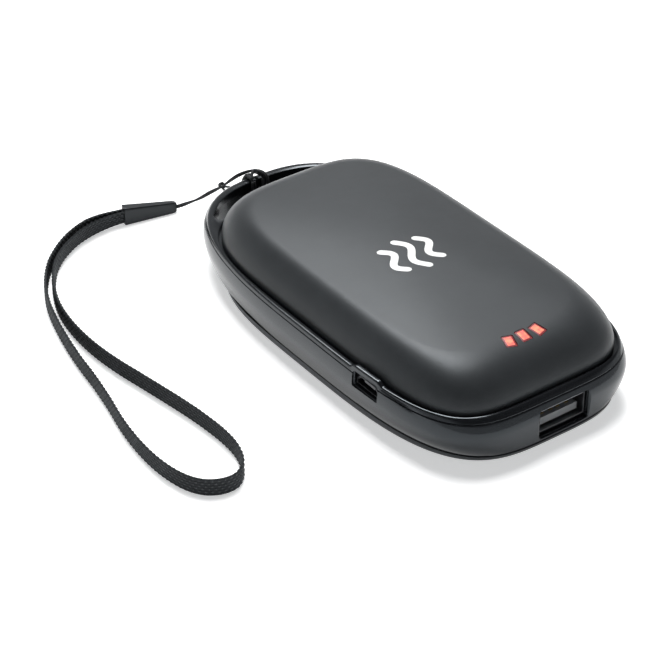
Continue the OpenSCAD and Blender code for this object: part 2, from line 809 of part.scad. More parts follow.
module lower_shell() color("#16181b") {
    skin = rim_end + end_belly;
    opening_h = opening_high - opening_low;
    difference() {
        union() {
            difference() {
                loft([for (share = belly_shares) body_ring(bottom_h + shell_h * share, 0)]);
                prism(body_ring(rim_z, rebate_edge), rebate_z, seam_z + over);
                prism(cavity_ring(0, 0), bottom_h + shell_floor, seam_z + over);
                prism(bottom_seam_ring(seam_land, 0), bottom_h - over, boss_z);
            }
            for (i = [0 : 3]) {
                spot = screw_spots[i];
                top = i < 2 ? board_z : boss_top;
                pin(spot[0], spot[1], boss_z, boss_r, top - boss_z);
                boss_web(spot, boss_z, web_top);
            }
        }
        for (spot = screw_spots) {
            pin(spot[0], spot[1], boss_z - over, screw_hole_r, shell_h + over);
        }
        prism(slot_outline(), bottom_h - over, seam_z + over);
        translate([usb_x, -skin, opening_low + opening_h / 2])
            rotate([90, 0, 0])
                bevelled_cut(opening_w, opening_h, 2 * usb_gap, 2 * shell_wall, port_bevel);
        micro_opening();
        button_opening();
    }
}

// The button's hole, with a flat pocket behind it for the flange
module button_opening() {
    pocket_l = button_l + 2 * flange_w + 2 * button_gap;
    pocket_h = button_h + 2 * flange_rise + 2 * button_gap;
    stadium(button_wall_x - over, -button_y, button_z, shell_wall + 2 * over,
        button_l + 2 * button_gap, button_h + 2 * button_gap);
    stadium(switch_x, -button_y, button_z, button_wall_x - switch_x, pocket_l, pocket_h);
}

module bottom_cover() color("#2c2e31") {
    inner = spigot_inset;
    difference() {
        loft(concat(
            [for (share = bottom_turn_shares) bottom_ring(share)],
            [
                bottom_seam_ring(2 * seam_gap, bottom_h - seam_gap),
                bottom_seam_ring(2 * seam_gap, bottom_h),
                bottom_seam_ring(inner - spigot_t, bottom_h),
                bottom_seam_ring(inner - spigot_t, bottom_h + spigot_h)
            ]));
        prism(bottom_seam_ring(inner, 0), bottom_floor, bottom_h + spigot_h + over);
        block(usb_x, -bottom_front, usb_z - usb_gap, opening_w, 2 * (seam_land + 2 * spigot_t),
            spigot_h);
    }
}

module power_button() color("#2a2c2f") {
    intersection() {
        stadium(flange_x - fit_gap, -button_y, button_z, shell_wall + side_belly + over,
            button_l, button_h);
        loft([for (share = belly_shares)
            body_ring(bottom_h + shell_h * share, button_sink)]);
    }
    stadium(flange_x - flange_t, -button_y, button_z, flange_t,
        button_l + 2 * flange_w, button_h + 2 * flange_rise);
}

module switch_plunger() color("#d9c9a0") {
    translate([plunger_tip - 2 * plunger_r, -button_y, button_z])
        rotate([0, 90, 0])
            cylinder(r = plunger_r, h = 2 * plunger_r, $fn = round_steps);
}

module switch_body() color("#202020") {
    bore = 2 * plunger_r;
    difference() {
        translate([switch_x, -button_y - switch_l / 2, board_z - switch_h])
            cube([switch_t, switch_l, switch_h]);
        translate([switch_x + switch_t - bore, -button_y, button_z])
            rotate([0, 90, 0])
                cylinder(r = plunger_r + fit_gap / 2, h = bore + over, $fn = round_steps);
    }
}

module circuit_board() color("#1f5b3a") {
    difference() {
        translate([0, 0, board_z])
            linear_extrude(height = board_t)
                union() {
                    intersection() {
                        polygon(flat(cover_ring(-board_inset, 0)));
                        translate([-rim_half, -board_front])
                            square([rim_w, board_l]);
                    }
                    intersection() {
                        polygon(flat(cavity_ring(3 * fit_gap, 0)));
                        union() {
                            translate([usb_x - usb_w / 2, -cavity_front])
                                square([usb_w, cavity_front - board_front + usb_w / 2]);
                            translate([-cavity_half, -micro_y - micro_w / 2 - micro_tab])
                                square([2 * board_inset, micro_w + 2 * micro_tab]);
                        }
                    }
                }
        translate([-micro_mouth, -micro_y - micro_w / 2, board_z - over])
            cube([micro_l, micro_w, board_t + 2 * over]);
        for (i = [0, 1]) {
            pin(screw_spots[i][0], screw_spots[i][1], board_z - over,
                screw_hole_r, board_t + 2 * over);
        }
    }
}

module usb_a_shell() color("#9a9da1") {
    translate([usb_x - usb_w / 2, -usb_mouth, usb_z])
        difference() {
            cube([usb_w, usb_l, usb_h]);
            translate([usb_sheet, -over, usb_sheet])
                cube([usb_w - 2 * usb_sheet, usb_l - usb_sheet + over, usb_h - 2 * usb_sheet]);
        }
}

// The tongue and the block at the back of the power socket
module usb_a_tongue() color("#55585c") {
    tongue_y = tongue_setback - usb_mouth;
    tongue_l = usb_l - usb_sheet - tongue_setback;
    block(usb_x, tongue_y + tongue_l / 2, usb_z + usb_sheet + tongue_lift,
        tongue_w, tongue_l, tongue_t);
    block(usb_x, usb_l - usb_mouth - usb_sheet - tongue_back / 2, usb_z + usb_sheet,
        usb_w - 2 * usb_sheet, tongue_back, usb_h - 2 * usb_sheet);
}

module usb_a_contacts() color("#d8b25c") {
    strip_shares = [-0.315, -0.09, 0.09, 0.315];
    for (share = strip_shares) {
        block(usb_x + share * tongue_w,
            tongue_setback - usb_mouth + contact_w + contact_l / 2,
            usb_z + usb_sheet + tongue_lift + tongue_t, contact_w, contact_l, contact_t);
    }
}

module micro_usb_shell() color("#9a9da1") {
    difference() {
        micro_column(micro_mouth, micro_l, 0);
        micro_column(micro_mouth + over, micro_l - usb_sheet + over, -usb_sheet);
    }
}

module micro_usb_tongue() color("#1c1c1e") {
    inset = 2 * usb_sheet;
    translate([inset - micro_mouth, -micro_y - micro_tongue_w / 2, micro_z - micro_tongue_t / 2])
        cube([micro_l - inset - usb_sheet, micro_tongue_w, micro_tongue_t]);
}

module indicator_lamps() color("#ff5a4a") {
    for (i = [-1 : 1]) {
        block(window_x + i * window_pitch, window_inset - rim_end, board_top,
            led_l, led_l / 2, led_h);
    }
}

module controller_chips() color("#1b1b1d") {
    block(chip_pitch, chip_y, board_top, chip_w, chip_w, chip_t);
    block(-chip_pitch, chip_y, board_top, 0.8 * chip_w, chip_w, chip_t);
    block(0, chip_y - chip_pitch, board_top, chip_w, 0.6 * chip_w, chip_t);
}

module inductor() color("#2b2b2d") {
    translate([-1.7 * coil_w, coil_y, board_z - coil_h])
        linear_extrude(height = coil_h)
            polygon(flat(round_rect(coil_w, coil_w, coil_w / 5, 0)));
}

// One flat pouch cell
module cell(low) {
    translate([0, cell_l / 2 - cell_front, low])
        linear_extrude(height = cell_t)
            polygon(flat(round_rect(cell_w, cell_l, cell_r, 0)));
}

// A sheet under or over a cell
module cell_sheet(low, t) {
    inset = cell_r;
    translate([0, cell_l / 2 - cell_front, low])
        linear_extrude(height = t)
            polygon(flat(round_rect(cell_w - inset, cell_l - inset, inset, 0)));
}

module lower_cell() color("#b9bdc2") cell(lower_cell_z);

module upper_cell() color("#b9bdc2") cell(upper_cell_z);

module cell_tape() color("#e8e4d8") cell_sheet(tape_z, tape_t);

module lower_foam() color("#6f7276") cell_sheet(foam_z, foam_t);

module upper_foam() color("#6f7276") cell_sheet(upper_foam_z, upper_film_z - upper_foam_z);

// A thin sheet under the bottom of the battery
module lower_sheet(low, t, inset) {
    prism(oval(
        bottom_half - spigot_inset - inset,
        bottom_front - bottom_front_run - inset,
        bottom_rear - spigot_inset - inset,
        0, bottom_front_square, bottom_rear_square), low, low + t);
}

// A thin sheet under the ceiling of the top cover, cut out round the screw bosses
module upper_sheet(low, t, inset) {
    difference() {
        prism(oval(ceiling_half - inset, ceiling_front - inset, ceiling_rear - inset,
            0, cover_front_square, cover_rear_square), low, low + t);
        for (spot = screw_spots) {
            pin(spot[0], spot[1], low - over, boss_r + 2 * fit_gap, t + 2 * over);
        }
    }
}

module lower_heat_plate() color("#c9ccd0") lower_sheet(plate_z, plate_t, fit_gap);

module lower_heater_film() color("#c77b2a") lower_sheet(film_z, film_t, cover_wall);

module upper_heat_plate() color("#c9ccd0") upper_sheet(upper_plate_z, plate_t, fit_gap);

module upper_heater_film() color("#c77b2a") upper_sheet(upper_film_z, film_t, cover_wall);

module temperature_sensor() color("#303236") {
    block(0, -cell_front - cell_clearance, upper_film_z - bead_t, bead_w, 0.7 * bead_w, bead_t);
}

// A lead from a cell's front face to the board's face at one height
module cell_lead(x, from_z, to_z) {
    reach = 2.5 * lead_r;
    side = sign(to_z - from_z);
    tube([
        [x, -cell_front, from_z],
        [x, -cell_front - reach, from_z],
        [x, -cell_front - 2.8 * reach, from_z + side * 0.6 * lead_r],
        [x, -cell_front - 3.7 * reach, from_z + side * 1.8 * lead_r],
        [x, -cell_front - 4 * reach, to_z - side * lead_r],
        [x, -cell_front - 4 * reach, to_z]
    ], lead_r, [1, 0, 0]);
}

module red_leads() color("#b02a22") {
    lead_x = cell_w / 8;
    cell_lead(lead_x, board_z - 4 * lead_r, board_z);
    cell_lead(lead_x, board_top + 4 * lead_r, board_top);
}

module black_leads() color("#151515") {
    lead_x = -cell_w / 8;
    cell_lead(lead_x, board_z - 4 * lead_r, board_z);
    cell_lead(lead_x, board_top + 4 * lead_r, board_top);
}

module heater_leads() color("#dcdcdc") {
    for (side = [-1, 1]) {
        pin(side * cell_w / 4, -cell_front - cell_clearance - 2 * lead_r, board_top,
            lead_r, upper_film_z - board_top);
    }
}

module case_screws() color("#8b8e92") {
    for (spot = screw_spots) {
        difference() {
            union() {
                pin(spot[0], spot[1], boss_z - head_h, head_r, head_h);
                pin(spot[0], spot[1], boss_z, screw_r, screw_l);
            }
            block(spot[0], spot[1], boss_z - head_h - over, driver_w, 1.4 * head_r,
                head_h / 2 + over);
            block(spot[0], spot[1], boss_z - head_h - over, 1.4 * head_r, driver_w,
                head_h / 2 + over);
        }
    }
}

module strap_string() color("#1a1a1b") {
    tube(string_route, string_r, [0, 0, 1]);
}

// The loop of string round the bar, closed on itself
module strap_hitch() color("#1a1a1b") {
    count = len(hitch_route);
    points = [
        for (i = [0 : count - 1])
            let (p = hitch_route[i])
            let (along = unit(hitch_route[(i + 1) % count] - hitch_route[(i + count - 1) % count]))
            let (out = [along[1], -along[0]])
            for (k = [0 : cord_sides - 1])
                let (turn = 360 * k / cord_sides)
                [
                    hitch_x + string_r * sin(turn),
                    p[0] + string_r * out[0] * cos(turn),
                    p[1] + string_r * out[1] * cos(turn)
                ]
    ];
    faces = [
        for (i = [0 : count - 1], k = [0 : cord_sides - 1])
            let (low = cord_sides * i)
            let (high = cord_sides * ((i + 1) % count))
            let (j = (k + 1) % cord_sides)
            each [[low + k, high + j, high + k], [low + k, low + j, high + j]]
    ];
    polyhedron(points = points, faces = faces, convexity = 8);
}

module strap_ferrule() color("#1d1e20") {
    section_shares = [0, 0.04, 0.5, 0.93, 1];
    inset_shares = [0.06, 0, 0, 0, 0.16];
    translate([ferrule_start[0], ferrule_start[1], 0])
        rotate([0, 0, ferrule_turn])
            rotate([90, 0, 90])
                loft([
                    for (i = [0 : len(section_shares) - 1])
                        let (taper = 1 - (1 - ferrule_end_share) * section_shares[i])
                        let (h = ferrule_h * taper)
                        let (w = ferrule_w * taper)
                        let (inset = inset_shares[i] * w)
                        [for (p = round_rect(w - inset, h - inset, 0.32 * (w - inset), 0))
                            [p[0], p[1] + h / 2, ferrule_l * section_shares[i]]]
                ]);
}

module strap_webbing() color("#202122") {
    edge = webbing_t / 3;
    section = [
        [-webbing_t / 2, edge], [-edge / 2, 0], [edge / 2, 0], [webbing_t / 2, edge],
        [webbing_t / 2, webbing_h - edge], [edge / 2, webbing_h],
        [-edge / 2, webbing_h], [-webbing_t / 2, webbing_h - edge]
    ];
    loft([
        for (i = [0 : len(webbing_route) - 1])
            let (along = heading(webbing_route, i))
            let (side = [along[1], -along[0]])
            [for (s = section)
                [
                    webbing_route[i][0] + side[0] * s[0],
                    webbing_route[i][1] + side[1] * s[0],
                    s[1]
                ]]
    ]);
}

top_cover();
light_guide();
bezel();
lower_shell();
bottom_cover();
power_button();
switch_plunger();
switch_body();
circuit_board();
usb_a_shell();
usb_a_tongue();
usb_a_contacts();
micro_usb_shell();
micro_usb_tongue();
indicator_lamps();
controller_chips();
inductor();
lower_cell();
cell_tape();
upper_cell();
lower_heat_plate();
lower_heater_film();
lower_foam();
upper_foam();
upper_heater_film();
upper_heat_plate();
temperature_sensor();
red_leads();
black_leads();
heater_leads();
case_screws();
strap_string();
strap_hitch();
strap_ferrule();
strap_webbing();
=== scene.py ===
# Looks of a rechargeable hand warmer with a wrist strap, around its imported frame
import json
import math

import bmesh
import bpy
import numpy as np
from mathutils import Matrix, Vector
from mathutils.bvhtree import BVHTree


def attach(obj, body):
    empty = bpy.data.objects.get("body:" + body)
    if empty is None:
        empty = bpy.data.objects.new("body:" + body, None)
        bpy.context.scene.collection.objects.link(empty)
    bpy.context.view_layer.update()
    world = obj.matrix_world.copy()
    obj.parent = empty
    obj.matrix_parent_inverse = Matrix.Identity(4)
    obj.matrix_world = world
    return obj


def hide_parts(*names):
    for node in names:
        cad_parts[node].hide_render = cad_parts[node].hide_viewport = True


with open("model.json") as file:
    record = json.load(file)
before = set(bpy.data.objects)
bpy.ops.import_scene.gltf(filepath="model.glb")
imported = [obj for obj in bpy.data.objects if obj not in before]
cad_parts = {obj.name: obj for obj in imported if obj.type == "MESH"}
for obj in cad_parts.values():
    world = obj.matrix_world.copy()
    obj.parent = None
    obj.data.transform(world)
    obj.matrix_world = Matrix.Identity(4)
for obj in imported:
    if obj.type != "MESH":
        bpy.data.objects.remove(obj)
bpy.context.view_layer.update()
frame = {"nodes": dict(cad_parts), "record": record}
NODES = frame["nodes"]
MM = 0.001

# Camera fitted to the photograph: angles in degrees, lengths in metres, focal length in pixels
PHOTO_SIDE = 665
CAMERA_AZIMUTH = -36.342
CAMERA_ELEVATION = 34.606
CAMERA_DISTANCE = 0.560492
CAMERA_FOCAL = 2449.11
CAMERA_RIGHT = -0.014381
CAMERA_UP = -0.01306
CAMERA_TARGET = Vector((0, 0, 0.0132))
SENSOR_WIDTH = 36.0


def make_camera():
    azimuth, elevation = math.radians(CAMERA_AZIMUTH), math.radians(CAMERA_ELEVATION)
    back = Vector((
        math.sin(azimuth) * math.cos(elevation),
        -math.cos(azimuth) * math.cos(elevation),
        math.sin(elevation),
    ))
    right = Vector((math.cos(azimuth), math.sin(azimuth), 0))
    up = back.cross(right)
    data = bpy.data.cameras.new("photo_camera")
    data.sensor_width = SENSOR_WIDTH
    data.lens = CAMERA_FOCAL / PHOTO_SIDE * SENSOR_WIDTH
    data.clip_start = 0.01
    data.clip_end = 20
    camera = bpy.data.objects.new("photo_camera", data)
    bpy.context.scene.collection.objects.link(camera)
    place = CAMERA_TARGET + back * CAMERA_DISTANCE + right * CAMERA_RIGHT + up * CAMERA_UP
    turn = Matrix((right, up, back)).transposed()
    camera.matrix_world = Matrix.Translation(place) @ turn.to_4x4()
    bpy.context.scene.camera = camera


make_camera()

# Sizes of the moulded outlines in millimetres, near the model's, with a fuller cover
RIM_HALF, RIM_END = 29.5, 55.5
FRONT_SQUARE, REAR_SQUARE = 4.4, 2.7
TAPER_SHARE = 0.018
SIDE_BELLY, END_BELLY = 0.4, 2.4
SIDE_TUCK, FRONT_TUCK, REAR_TUCK = 1.4, 0.2, 3.0
TUCK_POWER, TUCK_CORNER_SHARE = 1.8, 0.17
BOTTOM_Z, SEAM_Z, RIM_Z = 3.0, 12.0, 13.2
BELLY_HEIGHT_SHARE = 0.57
BELLY_Z = BOTTOM_Z + BELLY_HEIGHT_SHARE * (RIM_Z - BOTTOM_Z)
GROOVE_W, GROOVE_Z = 0.7, 12.3
REBATE_Z, SKIRT_Z = 11.2, 9.7
COVER_SIDE_SETBACK, COVER_FRONT_SETBACK, COVER_REAR_SETBACK = 1.94, 1.45, 11.2
COVER_HALF = RIM_HALF - COVER_SIDE_SETBACK
COVER_FRONT = RIM_END - COVER_FRONT_SETBACK
COVER_REAR = RIM_END - COVER_REAR_SETBACK
COVER_FRONT_SQUARE, COVER_REAR_SQUARE = 4.9, 3.9
SIDE_RUN, FRONT_RUN, REAR_RUN = 6.5, 11.0, 7.6
COVER_EDGE_Z, SHOULDER_H, SHOULDER_SQUARE = 13.5, 7.5, 2.0
SHOULDER_Z = COVER_EDGE_Z + SHOULDER_H
CROWN_RISE, COVER_WALL = 2.5, 1.5
CAVITY_HALF, CAVITY_FRONT, CAVITY_REAR = 27.5, 55.7, 48.0
BOTTOM_HALF, BOTTOM_FRONT, BOTTOM_REAR = 28.5, 57.7, 42.8
BOTTOM_FRONT_SQUARE, BOTTOM_REAR_SQUARE = FRONT_SQUARE * (1 - TUCK_CORNER_SHARE), 3.6
BOTTOM_SIDE_RUN, BOTTOM_FRONT_RUN, BOTTOM_REAR_RUN = 2.2, 14, 9
BOTTOM_EDGE_SQUARE, BOTTOM_GAP = 2.5, 0.25
MICRO_Y, MICRO_Z, MICRO_SKIN = 27.8, 10.525, 29.437


def outline(half, front, rear, z, squares, phi):
    """One closed outline, a ring of points in the directions phi."""
    c, s = np.cos(phi), np.sin(phi)
    n = np.where(s < 0, squares[0], squares[1])
    length = np.where(s < 0, front, rear)
    reach = (np.abs(c) ** n + np.abs(s) ** n) ** (-1 / n)
    y = length * reach * s
    x = half * reach * c * (1 - TAPER_SHARE * y / RIM_END)
    return np.stack([x, y, np.full(len(phi), float(z))], axis=1)


def body_sizes(z):
    """Half width, front and rear lengths and squareness of the skin at one height."""
    up = max(0.0, (z - BELLY_Z) / (RIM_Z - BELLY_Z)) ** 2
    down = max(0.0, (BELLY_Z - z) / (BELLY_Z - BOTTOM_Z)) ** TUCK_POWER
    half = RIM_HALF + SIDE_BELLY * (1 - up) - SIDE_TUCK * down
    front = RIM_END + END_BELLY * (1 - up) - FRONT_TUCK * down
    rear = RIM_END + END_BELLY * (1 - up) - REAR_TUCK * down
    return half, front, rear, FRONT_SQUARE * (1 - TUCK_CORNER_SHARE * down)


def body_ring(z, inset, phi):
    half, front, rear, square = body_sizes(z)
    return outline(half - inset, front - inset, rear - inset, z, (square, REAR_SQUARE), phi)


def cover_ring(grow, z, phi):
    return outline(COVER_HALF + grow, COVER_FRONT + grow, COVER_REAR + grow, z,
                   (COVER_FRONT_SQUARE, COVER_REAR_SQUARE), phi)


def crown_at(half, length):
    m = (half / COVER_HALF + length / (COVER_FRONT + COVER_REAR)) / 2
    return CROWN_RISE * (1 - m * m)


def shoulder_ring(share, wall, phi):
    inward = 1 - math.cos(math.pi / 2 * share) ** (2 / SHOULDER_SQUARE)
    upward = math.sin(math.pi / 2 * share) ** (2 / SHOULDER_SQUARE)
    half = COVER_HALF - SIDE_RUN * inward
    front, rear = COVER_FRONT - FRONT_RUN * inward, COVER_REAR - REAR_RUN * inward
    z = COVER_EDGE_Z + SHOULDER_H * upward + crown_at(half, front + rear) - wall
    return outline(half - wall, front - wall, rear - wall, z,
                   (COVER_FRONT_SQUARE, COVER_REAR_SQUARE), phi)


def crown_ring(share, phi):
    half = (COVER_HALF - SIDE_RUN) * share
    front, rear = (COVER_FRONT - FRONT_RUN) * share, (COVER_REAR - REAR_RUN) * share
    squares = (2 + (COVER_FRONT_SQUARE - 2) * share, 2 + (COVER_REAR_SQUARE - 2) * share)
    return outline(half, front, rear, SHOULDER_Z + crown_at(half, front + rear), squares, phi)


def bottom_ring(share, phi):
    inward = 1 - math.cos(math.pi / 2 * share) ** (2 / BOTTOM_EDGE_SQUARE)
    downward = math.sin(math.pi / 2 * share) ** (2 / BOTTOM_EDGE_SQUARE)
    return outline(
        BOTTOM_HALF - BOTTOM_SIDE_RUN * inward, BOTTOM_FRONT - BOTTOM_FRONT_RUN * inward,
        BOTTOM_REAR - BOTTOM_REAR_RUN * inward, (BOTTOM_Z - BOTTOM_GAP) * (1 - downward),
        (BOTTOM_FRONT_SQUARE, BOTTOM_REAR_SQUARE), phi)


def bottom_seam_ring(inset, z, phi):
    return outline(BOTTOM_HALF - inset, BOTTOM_FRONT - inset, BOTTOM_REAR - inset, z,
                   (BOTTOM_FRONT_SQUARE, BOTTOM_REAR_SQUARE), phi)


# Mesh building in millimetres
def loft(rings, closed=False, first_pole=None, last_pole=None):
    """Points and faces through rings of equal length, with optional end points or a closed section."""
    count, rows = len(rings[0]), len(rings)
    points = [tuple(p) for ring in rings for p in ring]
    column = np.arange(count)
    following = (column + 1) % count
    faces = []
    for k in range(rows if closed else rows - 1):
        low, high = k * count, (k + 1) % rows * count
        faces += np.stack([low + column, low + following, high + following, high + column],
                          axis=1).tolist()
    for pole, low, flip in ((first_pole, 0, True), (last_pole, (rows - 1) * count, False)):
        if pole is None:
            continue
        tip = len(points)
        points.append(tuple(pole))
        around = np.stack([low + column, low + following, np.full(count, tip)], axis=1)
        faces += (around[:, ::-1] if flip else around).tolist()
    return points, faces


def capped(rings):
    """A loft closed at both ends by one face each."""
    points, faces = loft(rings)
    count = len(rings[0])
    return points, faces + [list(range(count))[::-1],
                            list(range(len(points) - count, len(points)))]


def joined(*parts):
    points, faces = [], []
    for part_points, part_faces in parts:
        start = len(points)
        points += list(part_points)
        faces += [[start + i for i in face] for face in part_faces]
    return points, faces


def add_mesh(name, part):
    points, faces = part
    mesh = bpy.data.meshes.new(name)
    mesh.from_pydata([(x * MM, y * MM, z * MM) for x, y, z in points], [], faces)
    work = bmesh.new()
    work.from_mesh(mesh)
    bmesh.ops.recalc_face_normals(work, faces=work.faces)
    work.to_mesh(mesh)
    work.free()
    piece = bpy.data.objects.new(name, mesh)
    bpy.context.scene.collection.objects.link(piece)
    return piece


def carve(piece, *parts):
    """Cuts closed parts, which don't touch one another, out of a piece."""
    cutter = add_mesh("cutter", joined(*parts))
    modifier = piece.modifiers.new("carve", "BOOLEAN")
    modifier.operation = "DIFFERENCE"
    modifier.solver = "EXACT"
    modifier.object = cutter
    bpy.context.view_layer.update()
    graph = bpy.context.evaluated_depsgraph_get()
    mesh = bpy.data.meshes.new_from_object(piece.evaluated_get(graph))
    piece.modifiers.clear()
    old = piece.data
    piece.data = mesh
    mesh.name = piece.name
    bpy.data.meshes.remove(old)
    cutter_mesh = cutter.data
    bpy.data.objects.remove(cutter)
    bpy.data.meshes.remove(cutter_mesh)


def smooth(piece, angle=32):
    piece.data.polygons.foreach_set("use_smooth", [True] * len(piece.data.polygons))
    piece.data.set_sharp_from_angle(angle=math.radians(angle))


def finish_piece(piece, material, slot, body, *replaced):
    piece.data.materials.clear()
    for one in material if isinstance(material, (list, tuple)) else [material]:
        piece.data.materials.append(one)
    smooth(piece)
    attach(piece, body)
    if replaced:
        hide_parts(*replaced)


SPLINE_SAMPLES = 24


def spline(points, step):
    """Points at an even spacing on a smooth curve through given points."""
    p = np.asarray(points, float)
    p = np.vstack([2 * p[0] - p[1], p, 2 * p[-1] - p[-2]])
    fine = []
    for i in range(1, len(p) - 2):
        t = np.linspace(0, 1, SPLINE_SAMPLES, endpoint=False)[:, None]
        fine.append(0.5 * (2 * p[i] + (p[i + 1] - p[i - 1]) * t
                           + (2 * p[i - 1] - 5 * p[i] + 4 * p[i + 1] - p[i + 2]) * t ** 2
                           + (3 * p[i] - p[i - 1] - 3 * p[i + 1] + p[i + 2]) * t ** 3))
    fine = np.vstack(fine + [p[-2:-1]])
    run = np.concatenate([[0], np.cumsum(np.linalg.norm(np.diff(fine, axis=0), axis=1))])
    even = np.linspace(0, run[-1], max(2, round(run[-1] / step) + 1))
    return np.stack([np.interp(even, run, fine[:, k]) for k in range(3)], axis=1)


# A direction that no path here starts along
CROSSWISE = (0.13, 0.21, 1)


def frames(path):
    """Two directions square to a path at each point, carried along without twist."""
    along = np.gradient(path, axis=0)
    along /= np.linalg.norm(along, axis=1)[:, None]
    side = np.cross(along[0], CROSSWISE)
    side /= np.linalg.norm(side)
    sides = [side]
    for a in along[1:]:
        side = side - a * (side @ a)
        side /= np.linalg.norm(side)
        sides.append(side)
    sides = np.array(sides)
    return sides, np.cross(along, sides)


END_RADIUS_SHARE, END_POLE_SHARE = 0.6, 0.02


def tube(path, radius, sides=10):
    """Round strand along a path, drawn in at both ends."""
    path = np.asarray(path, float)
    one, two = frames(path)
    turn = np.linspace(0, 2 * math.pi, sides, endpoint=False)
    radii = np.full(len(path), float(radius))
    radii[0] = radii[-1] = END_RADIUS_SHARE * radius
    rings = [p + r * (np.outer(np.cos(turn), a) + np.outer(np.sin(turn), b))
             for p, r, a, b in zip(path, radii, one, two)]
    first = path[0] - (path[1] - path[0]) * END_POLE_SHARE
    last = path[-1] + (path[-1] - path[-2]) * END_POLE_SHARE
    return loft(rings, first_pole=first, last_pole=last)


# Materials
def new_material(name):
    material = bpy.data.materials.new(name)
    material.use_nodes = True
    tree = material.node_tree
    return material, tree, tree.nodes["Principled BSDF"]


def noise_node(tree, size_mm, detail):
    coords = tree.nodes.new("ShaderNodeTexCoord")
    noise = tree.nodes.new("ShaderNodeTexNoise")
    noise.inputs["Scale"].default_value = 1 / (size_mm * MM)
    noise.inputs["Detail"].default_value = detail
    tree.links.new(coords.outputs["Object"], noise.inputs["Vector"])
    return noise


def ramp_node(tree, source, low, high, start=0.3, end=0.7):
    ramp = tree.nodes.new("ShaderNodeValToRGB")
    for element, place, colour in zip(ramp.color_ramp.elements, (start, end), (low, high)):
        element.position = place
        element.color = (*colour, 1)
    tree.links.new(source, ramp.inputs["Fac"])
    return ramp.outputs["Color"]


LEAST_ROUGHNESS = 0.02


def surface(name, colour, roughness, metallic=0.0, grain_mm=0.3, relief_mm=0.01, strength=0.3,
            spread=0.12, rough_spread=0.04, patch_mm=6.0, specular=0.5, cool_light_tint=(0.9, 0.96, 1)):
    """Moulded, metal or coated surface: fine grain in relief, with slow drifts of tone and gloss."""
    material, tree, shader = new_material(name)
    patches = noise_node(tree, patch_mm, detail=4.0)
    dark = tuple(c * (1 - spread) for c in colour)
    light = tuple(min(1, c * (1 + spread)) for c in colour)
    tree.links.new(ramp_node(tree, patches.outputs["Fac"], dark, light),
                   shader.inputs["Base Color"])
    spots = noise_node(tree, patch_mm / 3, detail=3.0)
    span = tree.nodes.new("ShaderNodeMapRange")
    span.inputs["To Min"].default_value = max(LEAST_ROUGHNESS, roughness - rough_spread)
    span.inputs["To Max"].default_value = roughness + rough_spread
    tree.links.new(spots.outputs["Fac"], span.inputs["Value"])
    tree.links.new(span.outputs["Result"], shader.inputs["Roughness"])
    shader.inputs["Metallic"].default_value = metallic
    shader.inputs["Specular IOR Level"].default_value = specular
    # A cool tint on the reflections stands in for cool light: painted light colour
    if not metallic:
        shader.inputs["Specular Tint"].default_value = (*cool_light_tint, 1)
    if strength:
        grain = noise_node(tree, grain_mm, detail=2.0)
        bump = tree.nodes.new("ShaderNodeBump")
        bump.inputs["Strength"].default_value = strength
        bump.inputs["Distance"].default_value = relief_mm * MM
        tree.links.new(grain.outputs["Fac"], bump.inputs["Height"])
        tree.links.new(bump.outputs["Normal"], shader.inputs["Normal"])
    return material


def glowing(name, colour, deep, light, power):
    """Translucent plastic lit from below, in soft patches of two tones."""
    material, tree, shader = new_material(name)
    patches = noise_node(tree, size_mm=1.3, detail=1.0)
    tree.links.new(ramp_node(tree, patches.outputs["Fac"], deep, light, start=0.42, end=0.58),
                   shader.inputs["Emission Color"])
    shader.inputs["Base Color"].default_value = (*colour, 1)
    shader.inputs["Emission Strength"].default_value = power
    shader.inputs["Roughness"].default_value = 0.35
    return material


